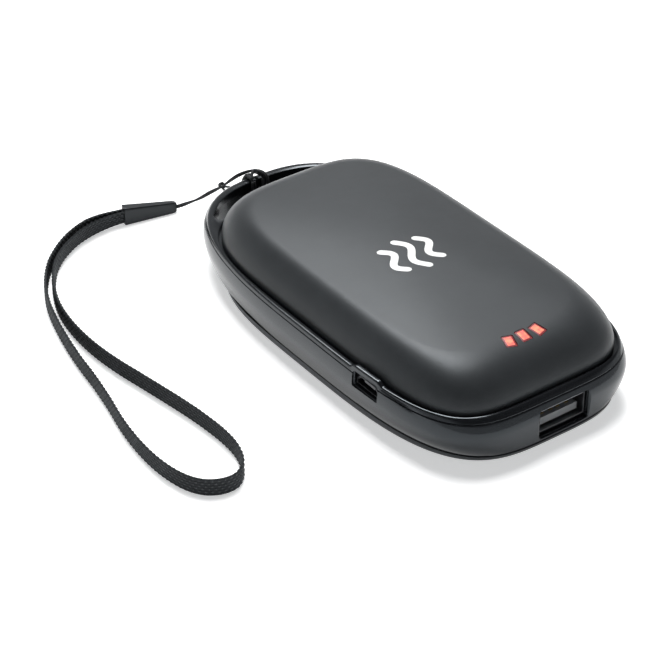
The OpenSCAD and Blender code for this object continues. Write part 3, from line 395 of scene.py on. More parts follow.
LOOKS = {
    "soft_touch_black": surface("soft_touch_black", (0.024, 0.0262, 0.0285), 0.4, grain_mm=0.22,
                                relief_mm=0.012, strength=0.3, spread=0.06, specular=0.27),
    "gloss_black": surface("gloss_black", (0.0085, 0.0092, 0.0105), 0.15, grain_mm=1.4,
                           relief_mm=0.01, strength=0.1, spread=0.1, rough_spread=0.03,
                           specular=0.44, cool_light_tint=(0.84, 0.93, 1)),
    "satin_black": surface("satin_black", (0.02, 0.021, 0.023), 0.46, grain_mm=0.25,
                           relief_mm=0.02, strength=0.4),
    "socket_steel": surface("socket_steel", (0.2, 0.205, 0.215), 0.34, metallic=1.0,
                            grain_mm=0.5, relief_mm=0.01, strength=0.2, spread=0.08),
    "socket_plastic": surface("socket_plastic", (0.17, 0.175, 0.18), 0.42, grain_mm=0.2),
    "contact_brass": surface("contact_brass", (0.42, 0.31, 0.15), 0.35, metallic=1.0,
                             grain_mm=0.4),
    "switch_plastic": surface("switch_plastic", (0.03, 0.03, 0.03), 0.4),
    "board_green": surface("board_green", (0.008, 0.03, 0.018), 0.35, grain_mm=0.8),
    "chip_black": surface("chip_black", (0.02, 0.02, 0.021), 0.5, grain_mm=0.15),
    "cell_foil": surface("cell_foil", (0.55, 0.57, 0.6), 0.38, metallic=1.0, grain_mm=0.6,
                         strength=0.5),
    "heat_plate": surface("heat_plate", (0.7, 0.71, 0.73), 0.32, metallic=1.0, grain_mm=0.5),
    "film_amber": surface("film_amber", (0.5, 0.18, 0.03), 0.3, patch_mm=3),
    "foam_grey": surface("foam_grey", (0.12, 0.125, 0.13), 0.9, grain_mm=0.35, relief_mm=0.1,
                         strength=0.8),
    "tape_white": surface("tape_white", (0.72, 0.71, 0.66), 0.6, grain_mm=0.3),
    "lead_red": surface("lead_red", (0.45, 0.02, 0.015), 0.42),
    "lead_black": surface("lead_black", (0.015, 0.015, 0.016), 0.42),
    "strap_cord": surface("strap_cord", (0.018, 0.018, 0.019), 0.75, grain_mm=0.18,
                          relief_mm=0.06, strength=0.8, spread=0.3),
    "strap_webbing": surface("strap_webbing", (0.012, 0.0135, 0.015), 0.7, grain_mm=0.16,
                             relief_mm=0.05, strength=0.7, spread=0.3, specular=0.4),
    "signal_red": glowing("signal_red", (0.5, 0.08, 0.05), (1, 0.11, 0.1), (1, 0.4, 0.2), 0.66),
}
FERRULE_BLACK = surface("ferrule_black", (0.008, 0.009, 0.0105), 0.3, grain_mm=0.3, relief_mm=0.01,
                        strength=0.3, specular=0.3)
# Lighter colour for the raised thread tops of the webbing: a painted highlight
PAINTED_THREAD_HIGHLIGHT = surface("painted_thread_highlight", (0.045, 0.049, 0.053), 0.6, grain_mm=0.16, relief_mm=0.05,
                      strength=0.5, spread=0.25)
# Steel far darker than its own tone: painted shade for the inside of the charging socket's recess
STEEL_PAINTED_SHADE = surface("steel_painted_shade", (0.045, 0.046, 0.05), 0.45, metallic=1.0, grain_mm=0.5,
                     relief_mm=0.01, strength=0.2)
WINDOW_EDGE = surface("window_edge", (0.2, 0.012, 0.014), 0.35, grain_mm=0.3)
PRINT_WHITE = surface("print_white", (0.7, 0.7, 0.69), 0.55, grain_mm=0.15, relief_mm=0.01,
                      spread=0.03)

# Cords: the webbing's route and the hitch's turn are the model's, and the arch runs near its route
HITCH_X = -0.8
HITCH_ROUTE = [
    (52.8, 13.5), (52.7, 12.3), (52.7, 8.5), (52.7, 5), (52.8, 3.1), (53.5, 2.3), (54.4, 2.1),
    (55.4, 2.3), (56.4, 3.2), (57.3, 4.6), (58.1, 6.1), (58.6, 7.6), (58.7, 9), (58.4, 10.5),
    (57.8, 11.8), (56.9, 13), (55.8, 13.9), (54.6, 14.2), (53.5, 14.1),
]
ARCH_ROUTE = [
    (-16.5, 71.7, 1.5), (-15.2, 71.4, 1.5), (-13.6, 70.5, 1.7), (-11.8, 67.6, 3.7),
    (-10.4, 65, 5.7), (-8.9, 62.7, 7.9), (-7.1, 60.3, 10.1), (-5.2, 58.9, 12), (-3.7, 57.6, 13.5),
    (-1.9, 55.8, 14.8), (-0.5, 54.4, 15.2), (0.5, 53.3, 14.7), (1.1, 52.7, 13.4),
    (1.2, 52.6, 11.6), (1.2, 52.6, 9.4),
]
WEBBING_ROUTE = [
    (-25.5, 73.1), (-28, 73.5), (-32, 73.9), (-36.5, 73.6), (-42, 71.9), (-47.5, 68.7),
    (-52, 64.7), (-55.5, 60), (-58.5, 54.8), (-61, 48.6), (-62.5, 42), (-63.2, 35),
    (-63.2, 28), (-62.5, 20.5), (-61.3, 13), (-60.1, 5.5), (-59, -2), (-58.3, -9),
    (-58.1, -15.5), (-58.7, -21), (-60.6, -26), (-64, -29.2), (-68, -29.3), (-71.6, -27),
    (-73.9, -22.5), (-75, -15.5), (-74.8, -7.5), (-73.6, 1), (-71.6, 9.8), (-69.9, 18.5),
    (-68.6, 27), (-67, 35), (-65, 43), (-62.6, 50.5), (-59.3, 57.4), (-54.7, 63.9),
    (-49.5, 68.8), (-44, 72.5), (-38.5, 74.7), (-33.5, 75.2), (-28, 74.6), (-25.5, 74.1),
]
# Points kept of the hitch's route, and the number of the arch's point that follows them
HITCH_MEETS, ARCH_MEETS = 17, 10
BIGHT_ROUTE = [
    (-2.6, 53.2, 12.6), (-2.7, 53.7, 13.8), (-2.2, 54.3, 14.6), (-1.4, 54.8, 15.2),
    (-0.6, 54.4, 15.2), (0.1, 53.7, 14.5), (0.3, 53.1, 13.4), (0.2, 52.8, 12.0),
]
STRING_STEP, FINE_STEP, TAIL_STEP = 0.25, 0.2, 0.15
STRAND_R, STRAND_OFFSET, STRAND_TWIST, HITCH_R, BIGHT_R = 0.27, 0.2, 19, 0.33, 0.36
# Turns round the slot's bar: the place of each along the bar, and its lean
BAR_TURNS = ((-2.7, 0.5), (-2.0, 0.5), (-0.4, -0.3))
BAR_Y, LEAN_REACH = 55.5, 3
KNOT_PLACE, KNOT_ALONG = (-6.9, 60.1, 10.1), (0.42, -0.6, 0.68)
KNOT_HALF_W, KNOT_HALF_H, KNOT_LIFT, KNOT_POINTS = 0.5, 0.62, 0.35, 40
# Start angle and slope of the knot's two coils
KNOT_COILS = ((0, 0.42), (2.1, -0.36))
# The knot's two tails, as distances along the string, up and level
KNOT_TAILS = (
    ((-0.3, 0.2, 0), (-0.55, -0.6, -0.2), (-0.4, -1.6, -0.2)),
    ((0.3, 0.2, 0), (1.0, -0.4, 0.4), (2.0, -0.9, 0.7)),
)
WEBBING_H, WEBBING_T = 4.5, 0.8
WEBBING_STEP, WEBBING_MARGIN, WEBBING_EDGE = 0.24, 0.12, 0.02
WEBBING_RIBS, RIB_SAMPLES, RIB_SINK, EDGE_RIBS = 6, 8, 0.2, 0.5
THREAD_PITCH, THREAD_RELIEF, THREAD_MEAN, THREAD_SWING = 1.35, 0.25, 0.55, 0.45
PAINTED_HIGHLIGHT_LEVEL, TINY = 0.55, 1e-9
CRIMP_RUN, CRIMP_SHARE, CRIMP_LIFT_SHARE = 12, 0.76, 0.55
# Lean of the tape in degrees at these distances from the ferrule
LEAN_PLACES, LEAN_ANGLES = (0, 8, 20, 32), (0, 8, 8, 0)
STRING_STEPS, WEBBING_STEPS = 34, 38
FERRULE_START, FERRULE_TURN = (-27.3, 74), -12
FERRULE_L, FERRULE_H, FERRULE_W, FERRULE_END_SHARE = 14.0, 4.9, 2.6, 0.58
FERRULE_SQUARE, FERRULE_SIDES = 9, 96
# Shares of the sleeve's length, and the inset of its section there
FERRULE_STATIONS = (
    (0, 0.32), (0.003, 0.1), (0.012, 0.02), (0.03, 0), (0.25, 0), (0.5, 0), (0.75, 0),
    (0.9, 0), (0.94, 0.03), (0.965, 0.09), (0.985, 0.2), (0.996, 0.34), (1, 0.5),
)


def path_length(points):
    return float(np.linalg.norm(np.diff(np.asarray(points, float), axis=0), axis=1).sum())


def make_ferrule():
    """Crimped sleeve, a crisp block that narrows from the webbing to the string."""
    turn = np.linspace(0, 2 * math.pi, FERRULE_SIDES, endpoint=False)
    c, s = np.cos(turn), np.sin(turn)
    reach = (np.abs(c) ** FERRULE_SQUARE + np.abs(s) ** FERRULE_SQUARE) ** (-1 / FERRULE_SQUARE)
    angle = math.radians(FERRULE_TURN)
    ahead = np.array([math.cos(angle), math.sin(angle), 0])
    aside = np.array([-math.sin(angle), math.cos(angle), 0])
    rings = []
    for share, inset in FERRULE_STATIONS:
        taper = 1 - (1 - FERRULE_END_SHARE) * share
        h, w = FERRULE_H * taper, FERRULE_W * taper
        centre = np.array([*FERRULE_START, h / 2]) + ahead * FERRULE_L * share
        rings.append(centre + np.outer(c * reach * (w / 2 - inset), aside)
                     + np.outer(s * reach * (h / 2 - inset), (0, 0, 1)))
    return add_mesh("ferrule", loft(rings, first_pole=rings[0].mean(axis=0),
                                    last_pole=rings[-1].mean(axis=0)))


def webbing_section(u):
    """Section of the tape at one distance along it, and which of its points are raised threads that
    get a painted highlight.
    """
    heights = np.linspace(WEBBING_MARGIN, WEBBING_H - WEBBING_MARGIN,
                          WEBBING_RIBS * RIB_SAMPLES + 1)
    v = (heights - heights[0]) / (heights[-1] - heights[0]) * WEBBING_RIBS
    phase = np.floor(v + TINY) % 2
    weave = np.abs(np.sin(math.pi * v)) * (THREAD_MEAN + THREAD_SWING * np.cos(
        2 * math.pi * u / THREAD_PITCH + math.pi * phase))
    edge = np.minimum(1, np.minimum(v, WEBBING_RIBS - v) / EDGE_RIBS)
    out = (WEBBING_T / 2 - RIB_SINK) * np.sqrt(edge * (2 - edge)) + THREAD_RELIEF * weave
    front = np.stack([out, heights], axis=1)
    back = np.stack([-out[::-1], heights[::-1]], axis=1)
    section = np.vstack([[(0, WEBBING_EDGE)], front, [(0, WEBBING_H - WEBBING_EDGE)], back])
    # Points raised past this level get the painted highlight
    top = weave > PAINTED_HIGHLIGHT_LEVEL
    return section, np.concatenate([[False], top, [False], top[::-1]])


def make_webbing():
    """Woven tape on its edge: ribs across its height, with crossing threads along it, their raised
    tops marked for a painted highlight.
    """
    route = [(x, y, 0) for x, y in WEBBING_ROUTE]
    path = spline(route, WEBBING_STEP)
    along = np.gradient(path, axis=0)
    along /= np.linalg.norm(along, axis=1)[:, None]
    side = np.stack([along[:, 1], -along[:, 0], np.zeros(len(path))], axis=1)
    run = np.arange(len(path)) * WEBBING_STEP
    rings, raised_threads = [], []
    for i, u in enumerate(run):
        section, raised_points = webbing_section(u)
        raised_threads.append(raised_points)
        near_end = min(1, min(u, run[-1] - u) / CRIMP_RUN)
        crimp = CRIMP_SHARE + (1 - CRIMP_SHARE) * near_end * near_end * (3 - 2 * near_end)
        lift = (1 - crimp) * CRIMP_LIFT_SHARE * WEBBING_H
        lean = math.radians(np.interp(u, LEAN_PLACES, LEAN_ANGLES))
        up = np.array([0, 0, math.cos(lean)]) - side[i] * math.sin(lean)
        out_of = side[i] * math.cos(lean) + np.array([0, 0, math.sin(lean)])
        base = path[i] + (0, 0, lift + WEBBING_T / 2 * math.sin(lean))
        rings.append(base + np.outer(section[:, 0], out_of)
                     + np.outer(crimp * section[:, 1], up))
    threads = np.array(raised_threads)
    beside = np.roll(threads, -1, axis=1)
    light = threads[:-1] & threads[1:] & beside[:-1] & beside[1:]
    middle = spline(route, path_length(path) / WEBBING_STEPS)
    return add_mesh("webbing", capped(rings)), middle, light.ravel()


def bar_loop(x, lean):
    """One turn of string round the slot's bar, leaning along it."""
    loop = np.array([(0, y, z) for y, z in HITCH_ROUTE])
    loop[:, 0] = x + lean * (loop[:, 1] - BAR_Y) / LEAN_REACH
    return spline(loop, STRING_STEP)


def knot_parts():
    """Two small coils of string and their two tails."""
    knot = np.array(KNOT_PLACE)
    along = np.array(KNOT_ALONG)
    along /= np.linalg.norm(along)
    level = np.cross(along, (0, 0, 1))
    level /= np.linalg.norm(level)
    rise = np.cross(level, along)
    turn = np.linspace(0, 2 * math.pi, KNOT_POINTS)
    parts = []
    for start, slope in KNOT_COILS:
        coil = (knot + np.outer(KNOT_HALF_W * np.cos(turn + start), level)
                + np.outer(KNOT_LIFT + KNOT_HALF_H * np.sin(turn + start), rise)
                + np.outer(slope * (turn / math.pi - 1), along))
        parts.append(tube(coil, HITCH_R))
    for tail in KNOT_TAILS:
        points = [knot + a * along + b * rise + c * level for a, b, c in tail]
        parts.append(tube(spline(points, TAIL_STEP), STRAND_R))
    return parts


def make_string():
    """Doubled string: two strands side by side, a knot with its two tails, and the hitch."""
    arch = spline(ARCH_ROUTE, STRING_STEP)
    one, two = frames(arch)
    run = np.arange(len(arch)) * STRING_STEP
    parts = []
    for start in (0, math.pi):
        turn = start + 2 * math.pi * run / STRAND_TWIST
        around = one * np.cos(turn)[:, None] + two * np.sin(turn)[:, None]
        parts.append(tube(arch + STRAND_OFFSET * around, STRAND_R))
    for x, lean in BAR_TURNS:
        parts.append(tube(bar_loop(x, lean), HITCH_R))
    parts.append(tube(spline(BIGHT_ROUTE, FINE_STEP), BIGHT_R))
    parts += knot_parts()
    hitch = [(HITCH_X, y, z) for y, z in HITCH_ROUTE[:HITCH_MEETS]]
    line = hitch[::-1] + ARCH_ROUTE[ARCH_MEETS::-1]
    return add_mesh("string", joined(*parts)), line


def make_strap():
    ferrule = make_ferrule()
    finish_piece(ferrule, FERRULE_BLACK, "satin_black", "case", "strap_ferrule")
    string, line = make_string()
    finish_piece(string, LOOKS["strap_cord"], "strap_cord", "case", "strap_string", "strap_hitch")
    line = spline(line, path_length(line) / STRING_STEPS)
    webbing, middle, light = make_webbing()
    middle = middle + (0, 0, WEBBING_H / 2)
    finish_piece(webbing, [LOOKS["strap_webbing"], PAINTED_THREAD_HIGHLIGHT], "strap_webbing", "case",
                 "strap_webbing")
    # Faces on the raised thread tops take the lighter material, a painted highlight
    for index in np.flatnonzero(light):
        webbing.data.polygons[int(index)].material_index = 1


make_strap()

# Housing
EVEN = np.linspace(0, 2 * math.pi, 480, endpoint=False)
# Finer steps round the hood
HOOD_FIRST, HOOD_LAST, HOOD_STEPS = 0.36, 0.56, 70
HOOD_ZONE = math.pi + np.linspace(HOOD_FIRST, HOOD_LAST, HOOD_STEPS)
FINE = np.unique(np.round(np.concatenate([EVEN, HOOD_ZONE]), 5))
HOOD_RISE, HOOD_BASE, HOOD_SLOPE = 0.85, 3.5, 2.0
SLOT_OUTER_HALF, SLOT_OUTER_END, SLOT_OUTER_ANGLE = 29.0, 53.5, math.radians(55)
SLOT_INNER_HALF, SLOT_INNER_END, SLOT_INNER_ANGLE = 28.0, 49.6, math.radians(57)
SLOT_STEPS, SLOT_CAP_STEPS, SLOT_CAP_BULGE, SLOT_BEVEL = 72, 14, 0.5, 0.16
# Where the bevel's middle lies, as shares of the bevel
BEVEL_DROP_SHARE, BEVEL_GROW_SHARE = 0.35, 0.3
OVERRUN = 1


def slot_side(half, end, first, last):
    """One long side of the crescent slot, from one angle to another."""
    t = np.linspace(first, last, SLOT_STEPS)
    y = end * np.sin(t) ** (2 / REAR_SQUARE)
    x = half * np.sign(np.cos(t)) * np.abs(np.cos(t)) ** (2 / REAR_SQUARE)
    return np.stack([x * (1 - TAPER_SHARE * y / RIM_END), y], axis=-1)


def slot_cap(start, end):
    """Rounded tip between the slot's two sides."""
    centre, half = (start + end) / 2, (end - start) / 2
    bulge = SLOT_CAP_BULGE * np.array([half[1], -half[0]])
    angle = np.linspace(0, math.pi, SLOT_CAP_STEPS)[1:-1]
    return centre - np.outer(np.cos(angle), half) + np.outer(np.sin(angle), bulge)


def slot_edges():
    """The crescent slot's outline."""
    outer = slot_side(SLOT_OUTER_HALF, SLOT_OUTER_END,
                      SLOT_OUTER_ANGLE, math.pi - SLOT_OUTER_ANGLE)
    inner = slot_side(SLOT_INNER_HALF, SLOT_INNER_END,
                      math.pi - SLOT_INNER_ANGLE, SLOT_INNER_ANGLE)
    return np.vstack([outer, slot_cap(outer[-1], inner[0]), inner, slot_cap(inner[-1], outer[0])])


def grown(loop, amount):
    """A flat loop moved out square to itself, for loops that run anticlockwise."""
    along = np.roll(loop, -1, axis=0) - np.roll(loop, 1, axis=0)
    along /= np.linalg.norm(along, axis=1)[:, None]
    return loop + amount * np.stack([along[:, 1], -along[:, 0]], axis=1)


def at_height(loop, z):
    return np.column_stack([loop, np.full(len(loop), float(z))])


def slot_cutter(low, high, bevel):
    loop = slot_edges()
    x, y = loop.T
    side = 1 if np.sum(x * np.roll(y, -1) - np.roll(x, -1) * y) > 0 else -1
    levels = [(low - OVERRUN, 0)]
    if bevel:
        levels += [(high - bevel, 0), (high - BEVEL_DROP_SHARE * bevel, BEVEL_GROW_SHARE * bevel),
                   (high, bevel)]
    levels += [(high + OVERRUN, bevel)]
    return capped([at_height(grown(loop, side * grow), z) for z, grow in levels])


def rounded(corners, radius, steps=4):
    """A flat polygon with every corner rounded."""
    corners = np.asarray(corners, float)
    loop = []
    for i, corner in enumerate(corners):
        back = corners[i - 1] - corner
        ahead = corners[(i + 1) % len(corners)] - corner
        start = corner + back / np.linalg.norm(back) * radius
        end = corner + ahead / np.linalg.norm(ahead) * radius
        for t in np.linspace(0, 1, steps + 1):
            loop.append((1 - t) ** 2 * start + 2 * t * (1 - t) * corner + t * t * end)
    return np.array(loop)


MICRO_CORNER_R = 0.3
# Distance out from the skin, and the opening's half width, low side, high side and corner there
MICRO_LEVELS = (
    (2, (4.3, -1.75, 2.3, 0.6)), (0, (4.3, -1.75, 2.3, 0.6)), (-0.1, (4.2, -1.62, 2.2, 0.6)),
    (-0.3, (4.12, -1.52, 2.1, 0.6)), (-1.08, (4.05, -1.45, 2.05, 0.6)),
    (-1.08, (3.9, -1.325, 1.325, 1.1)), (-5.8, (3.9, -1.325, 1.325, 1.1)),
)


def micro_profile(half, low, high, corner):
    return rounded([(-half, low), (half, low), (half, high - corner), (half - corner, high),
                    (corner - half, high), (-half, high - corner)], MICRO_CORNER_R)


def micro_cutter():
    """Recess that reaches up into the hood, then a tight hole for the socket's shell."""
    rings = []
    for depth, sizes in MICRO_LEVELS:
        flat = micro_profile(*sizes)
        rings.append(np.stack([np.full(len(flat), -MICRO_SKIN - depth), flat[:, 0] - MICRO_Y,
                               flat[:, 1] + MICRO_Z], axis=1))
    return capped(rings)


USB_X, OPENING_CORNER_R = 1.7, 0.6
OPENING_LOW, OPENING_HIGH, OPENING_W = 3.79, 10.8, 13.8
# Distance out from the skin, and the opening's growth there
OPENING_LEVELS = ((1, 0.5), (0, 0.5), (-0.12, 0.3), (-0.5, 0), (-4, 0))


def usb_cutter():
    skin, middle = RIM_END + END_BELLY, (OPENING_LOW + OPENING_HIGH) / 2
    half_w, half_h = OPENING_W / 2, (OPENING_HIGH - OPENING_LOW) / 2
    rings = []
    for depth, grow in OPENING_LEVELS:
        w, h = half_w + grow, half_h + grow
        flat = rounded([(-w, -h), (w, -h), (w, h), (-w, h)], OPENING_CORNER_R + grow, steps=6)
        rings.append(np.stack([flat[:, 0] + USB_X, np.full(len(flat), -skin - depth),
                               flat[:, 1] + middle], axis=1))
    return capped(rings)


def box_part(low, high):
    (x0, y0, z0), (x1, y1, z1) = low, high
    base = [(x0, y0), (x1, y0), (x1, y1), (x0, y1)]
    return capped([at_height(np.array(base, float), z) for z in (z0, z1)])


# Top cover
LIP_BACK, LIP_FRONT, LIP_TOP_Z, LIP_FOOT_Z, EDGE_BEVEL = 2.6, 1.7, 13.2, 11.1, 0.12
INNER_SHARES = np.linspace(1, 0.2, 9)
OUTER_SHARES = np.linspace(0, 1, 44)
CROWN_SHARES = np.linspace(0.96, 0.04, 24)
ABOVE_Z = 60


def make_cover():
    inner = [shoulder_ring(s, COVER_WALL, EVEN) for s in INNER_SHARES]
    lip = [cover_ring(grow, z, EVEN) for grow, z in (
        (-COVER_WALL, LIP_TOP_Z), (-LIP_BACK, LIP_TOP_Z), (-LIP_BACK, LIP_FOOT_Z),
        (-LIP_FRONT, LIP_FOOT_Z), (-LIP_FRONT, GROOVE_Z), (-EDGE_BEVEL, GROOVE_Z),
        (0, GROOVE_Z + EDGE_BEVEL))]
    outer = [shoulder_ring(s, 0, EVEN) for s in OUTER_SHARES]
    crown = [crown_ring(s, EVEN) for s in CROWN_SHARES]
    ceiling = (0, 0, inner[0][0][2])
    peak = (0, 0, SHOULDER_Z + CROWN_RISE)
    cover = add_mesh("cover", loft(inner + lip + outer + crown, first_pole=ceiling,
                                   last_pole=peak))
    points, faces = loft(outer + crown, last_pole=peak)
    return cover, BVHTree.FromPolygons([Vector(p) for p in points], faces)


cover, DOME = make_cover()


def dome_z(x, y):
    hit = DOME.ray_cast(Vector((x, y, ABOVE_Z)), Vector((0, 0, -1)))[0]
    return hit.z


WINDOWS = (-1, 0, 1)
WINDOW_W, WINDOW_L, WINDOW_PITCH, WINDOW_FAN, WINDOW_Y = 2.6, 3.3, 3.9, 16, -44.9
# Growth, depth below the skin and corner radius of a window's rings, from its middle out
WINDOW_RINGS = (
    (-1.1, 0.06, 0.1), (-0.7, 0.05, 0.12), (-0.42, 0.05, 0.2), (-0.05, 0.07, 0.25),
    (0.02, 0.16, 0.3),
)
DARK_RINGS = (2, 4)
HOLE_GROW, HOLE_CORNER_R, HOLE_FOOT_Z, HOLE_TOP_Z = 0.1, 0.35, 12.0, 30.0
GUIDE_LOW, GUIDE_HIGH, GUIDE_FOOT_Z = (-6.7, -46.7, 11.8), (6.7, -43.5, 13.1), 13.0


def window_loop(i, grow, radius):
    w, l = WINDOW_W / 2 + grow, WINDOW_L / 2 + grow
    flat = rounded([(-w, -l), (w, -l), (w, l), (-w, l)], radius, steps=5)
    a = math.radians(i * WINDOW_FAN)
    turn = np.array([(math.cos(a), -math.sin(a)), (math.sin(a), math.cos(a))])
    return flat @ turn.T + (i * WINDOW_PITCH, WINDOW_Y)


def make_windows():
    """Three lit windows that rise from one bar to just under the dome's skin."""
    parts = []
    for i in WINDOWS:
        rings = []
        for grow, drop, radius in WINDOW_RINGS:
            loop = window_loop(i, grow, radius)
            rings.append(np.array([(x, y, dome_z(x, y) - drop) for x, y in loop]))
        rings.append(at_height(loop, GUIDE_FOOT_Z))
        centre = (i * WINDOW_PITCH, WINDOW_Y)
        parts.append(loft(rings, first_pole=(*centre, dome_z(*centre) - WINDOW_RINGS[0][1]),
                          last_pole=(*centre, GUIDE_FOOT_Z)))
    windows = add_mesh("windows", joined(*parts, box_part(GUIDE_LOW, GUIDE_HIGH)))
    finish_piece(windows, [LOOKS["signal_red"], WINDOW_EDGE], "signal_red", "case",
                 "light_guide")
    count = len(loop)
    per_window = (len(WINDOW_RINGS) + 2) * count
    for number in range(len(WINDOWS)):
        start = number * per_window
        for index in range(start + DARK_RINGS[0] * count, start + DARK_RINGS[1] * count):
            windows.data.polygons[index].material_index = 1


SIGN_X, SIGN_Y, WAVE_PITCH, WAVE_SWING, WAVE_TURNS = -1.2, -7.3, 4.9, 1.35, 1.25
WAVE_HALF_LENGTHS = (5.2, 6.6, 5.2)
STROKE_HALF, STROKE_LEAST, INK_LIFT, INK_EDGE_LIFT = 0.85, 0.02, 0.03, 0.005
STROKE_ROWS = (-1, -0.5, 0, 0.5, 1)
WAVE_POINTS = 61


def make_print():
    """Generic heat sign, three rising waves, printed on the dome."""
    parts = []
    for column, half_l in enumerate(WAVE_HALF_LENGTHS):
        t = np.linspace(-1, 1, WAVE_POINTS)
        y = SIGN_Y + half_l * t
        x = SIGN_X + (column - 1) * WAVE_PITCH + WAVE_SWING * np.sin(t * math.pi * WAVE_TURNS)
        middle = np.stack([x, y], axis=1)
        along = np.gradient(middle, axis=0)
        along /= np.linalg.norm(along, axis=1)[:, None]
        across = np.stack([along[:, 1], -along[:, 0]], axis=1)
        run = np.minimum(1, (1 - np.abs(t)) * half_l / STROKE_HALF)
        half = STROKE_HALF * np.sqrt(run * (2 - run)) + STROKE_LEAST
        points = []
        for share in STROKE_ROWS:
            lift = INK_LIFT if abs(share) < 1 else INK_EDGE_LIFT
            flat = middle + across * (half * share)[:, None]
            points += [(px, py, dome_z(px, py) + lift) for px, py in flat]
        faces = []
        for k in range(len(STROKE_ROWS) - 1):
            for i in range(k * WAVE_POINTS, (k + 1) * WAVE_POINTS - 1):
                faces.append([i, i + 1, i + 1 + WAVE_POINTS, i + WAVE_POINTS])
        parts.append((points, faces))
    mark = add_mesh("heat_sign", joined(*parts))
    finish_piece(mark, PRINT_WHITE, "tape_white", "case")


make_print()
make_windows()
holes = [window_loop(i, HOLE_GROW, HOLE_CORNER_R) for i in WINDOWS]
carve(cover, *[capped([at_height(hole, z) for z in (HOLE_FOOT_Z, HOLE_TOP_Z)]) for hole in holes])
finish_piece(cover, LOOKS["soft_touch_black"], "soft_touch_black", "case", "top_cover")


def raised(ring, weight):
    """Lifts a bezel outline into the hood over the charging socket."""
    away = (np.abs(ring[:, 1] + MICRO_Y) - HOOD_BASE) / HOOD_SLOPE
    share = np.where(ring[:, 0] < 0, np.clip(1 - away, 0, 1), 0)
    ring[:, 2] += weight * HOOD_RISE * (1 - np.cos(math.pi * share)) / 2
    return ring


# Heights of the bezel's outer skin, and its inset there
BEZEL_SKIN = ((12.0, 0.2), (12.05, 0.08), (12.16, 0), (12.35, 0), (12.6, 0), (12.85, 0))
RIM_R, GROOVE_R, GROOVE_MIDDLE, RIM_STEPS = 0.35, 0.12, 0.05, 6
SEAT_GAP, BEZEL_REBATE, SHELL_REBATE = 0.1, 0.7, 0.6
BEZEL_CUT_FRONT_Y, BEZEL_CUT_REAR_Y = -59.9, -51.4


def upright(ring, *heights):
    """Copies of a ring at these heights."""
    copies = []
    for z in heights:
        copy = ring.copy()
        copy[:, 2] = z
        copies.append(copy)
    return copies


def make_bezel():
    rings = [raised(body_ring(z, inset, FINE), (z - SEAM_Z) / (RIM_Z - SEAM_Z))
             for z, inset in BEZEL_SKIN]
    for turn in np.linspace(0, math.pi / 2, RIM_STEPS):
        z, inset = RIM_Z - RIM_R * (1 - math.sin(turn)), RIM_R * (1 - math.cos(turn))
        rings.append(raised(body_ring(z, inset, FINE), 1))
    for grow, drop in ((GROOVE_R, 0), (GROOVE_MIDDLE, GROOVE_MIDDLE), (0, GROOVE_R)):
        rings.append(raised(cover_ring(GROOVE_W + grow, RIM_Z - drop, FINE), 1))
    rings.append(cover_ring(GROOVE_W, GROOVE_Z, FINE))
    rings += [cover_ring(-COVER_WALL - SEAT_GAP, z, FINE) for z in (GROOVE_Z, SKIRT_Z)]
    rings += [outline(CAVITY_HALF - SEAT_GAP, CAVITY_FRONT - SEAT_GAP, CAVITY_REAR - SEAT_GAP, z,
                      (FRONT_SQUARE, REAR_SQUARE), FINE) for z in (SKIRT_Z, REBATE_Z)]
    rings += upright(body_ring(RIM_Z, BEZEL_REBATE, FINE), REBATE_Z, SEAM_Z)
    bezel = add_mesh("bezel_ring", loft(rings, closed=True))
    carve(bezel, slot_cutter(SKIRT_Z, RIM_Z, SLOT_BEVEL), micro_cutter(),
          box_part((USB_X - OPENING_W / 2, BEZEL_CUT_FRONT_Y, SKIRT_Z - OVERRUN),
                   (USB_X + OPENING_W / 2, BEZEL_CUT_REAR_Y, OPENING_HIGH)))
    finish_piece(bezel, LOOKS["gloss_black"], "gloss_black", "case", "bezel")


BUTTON_Y, BUTTON_Z, BUTTON_L, BUTTON_H = 25.0, 7.6, 9.0, 3.4


def stadium(l, h, steps=24, flats=10):
    """Outline with two straight sides and round ends."""
    arc = np.linspace(-math.pi / 2, math.pi / 2, steps)
    reach = (l - h) / 2
    right = np.stack([reach + h / 2 * np.cos(arc), h / 2 * np.sin(arc)], axis=1)
    left = np.stack([-reach - h / 2 * np.cos(arc), -h / 2 * np.sin(arc)], axis=1)
    flat = np.linspace(-reach, reach, flats + 2)[1:-1]
    low = np.stack([flat, np.full(flats, -h / 2)], axis=1)
    high = np.stack([-flat, np.full(flats, h / 2)], axis=1)
    return np.vstack([low, right, high, left])


def along_x(flat, x):
    return np.stack([np.broadcast_to(x, len(flat)), flat[:, 0] - BUTTON_Y,
                     flat[:, 1] + BUTTON_Z], axis=1)


def skin_x(y, z):
    """How far out the belly's skin lies on the button's side."""
    half, front, rear, square = body_sizes(z)
    share = (1 - abs(y / front) ** square) ** (1 / square)
    return half * share * (1 - TAPER_SHARE * y / RIM_END)


# Heights of the shell's outer skin, and its inset there
SHELL_FOOT = ((3.0, 0.3), (3.05, 0.16), (3.2, 0))
SHELL_SIDE = tuple((z, 0) for z in np.linspace(3.5, 11.7, 30))
SHELL_TOP = ((11.84, 0), (11.95, 0.08), (12.0, 0.2))
LEDGE_Z, LEDGE_INSET = 4.4, 1.5
# Places of the button's hole along X, and its growth past the button there
BUTTON_HOLE = ((26.3, 0.4), (29.6, 0.4), (30.0, 0.8), (31.0, 0.8))


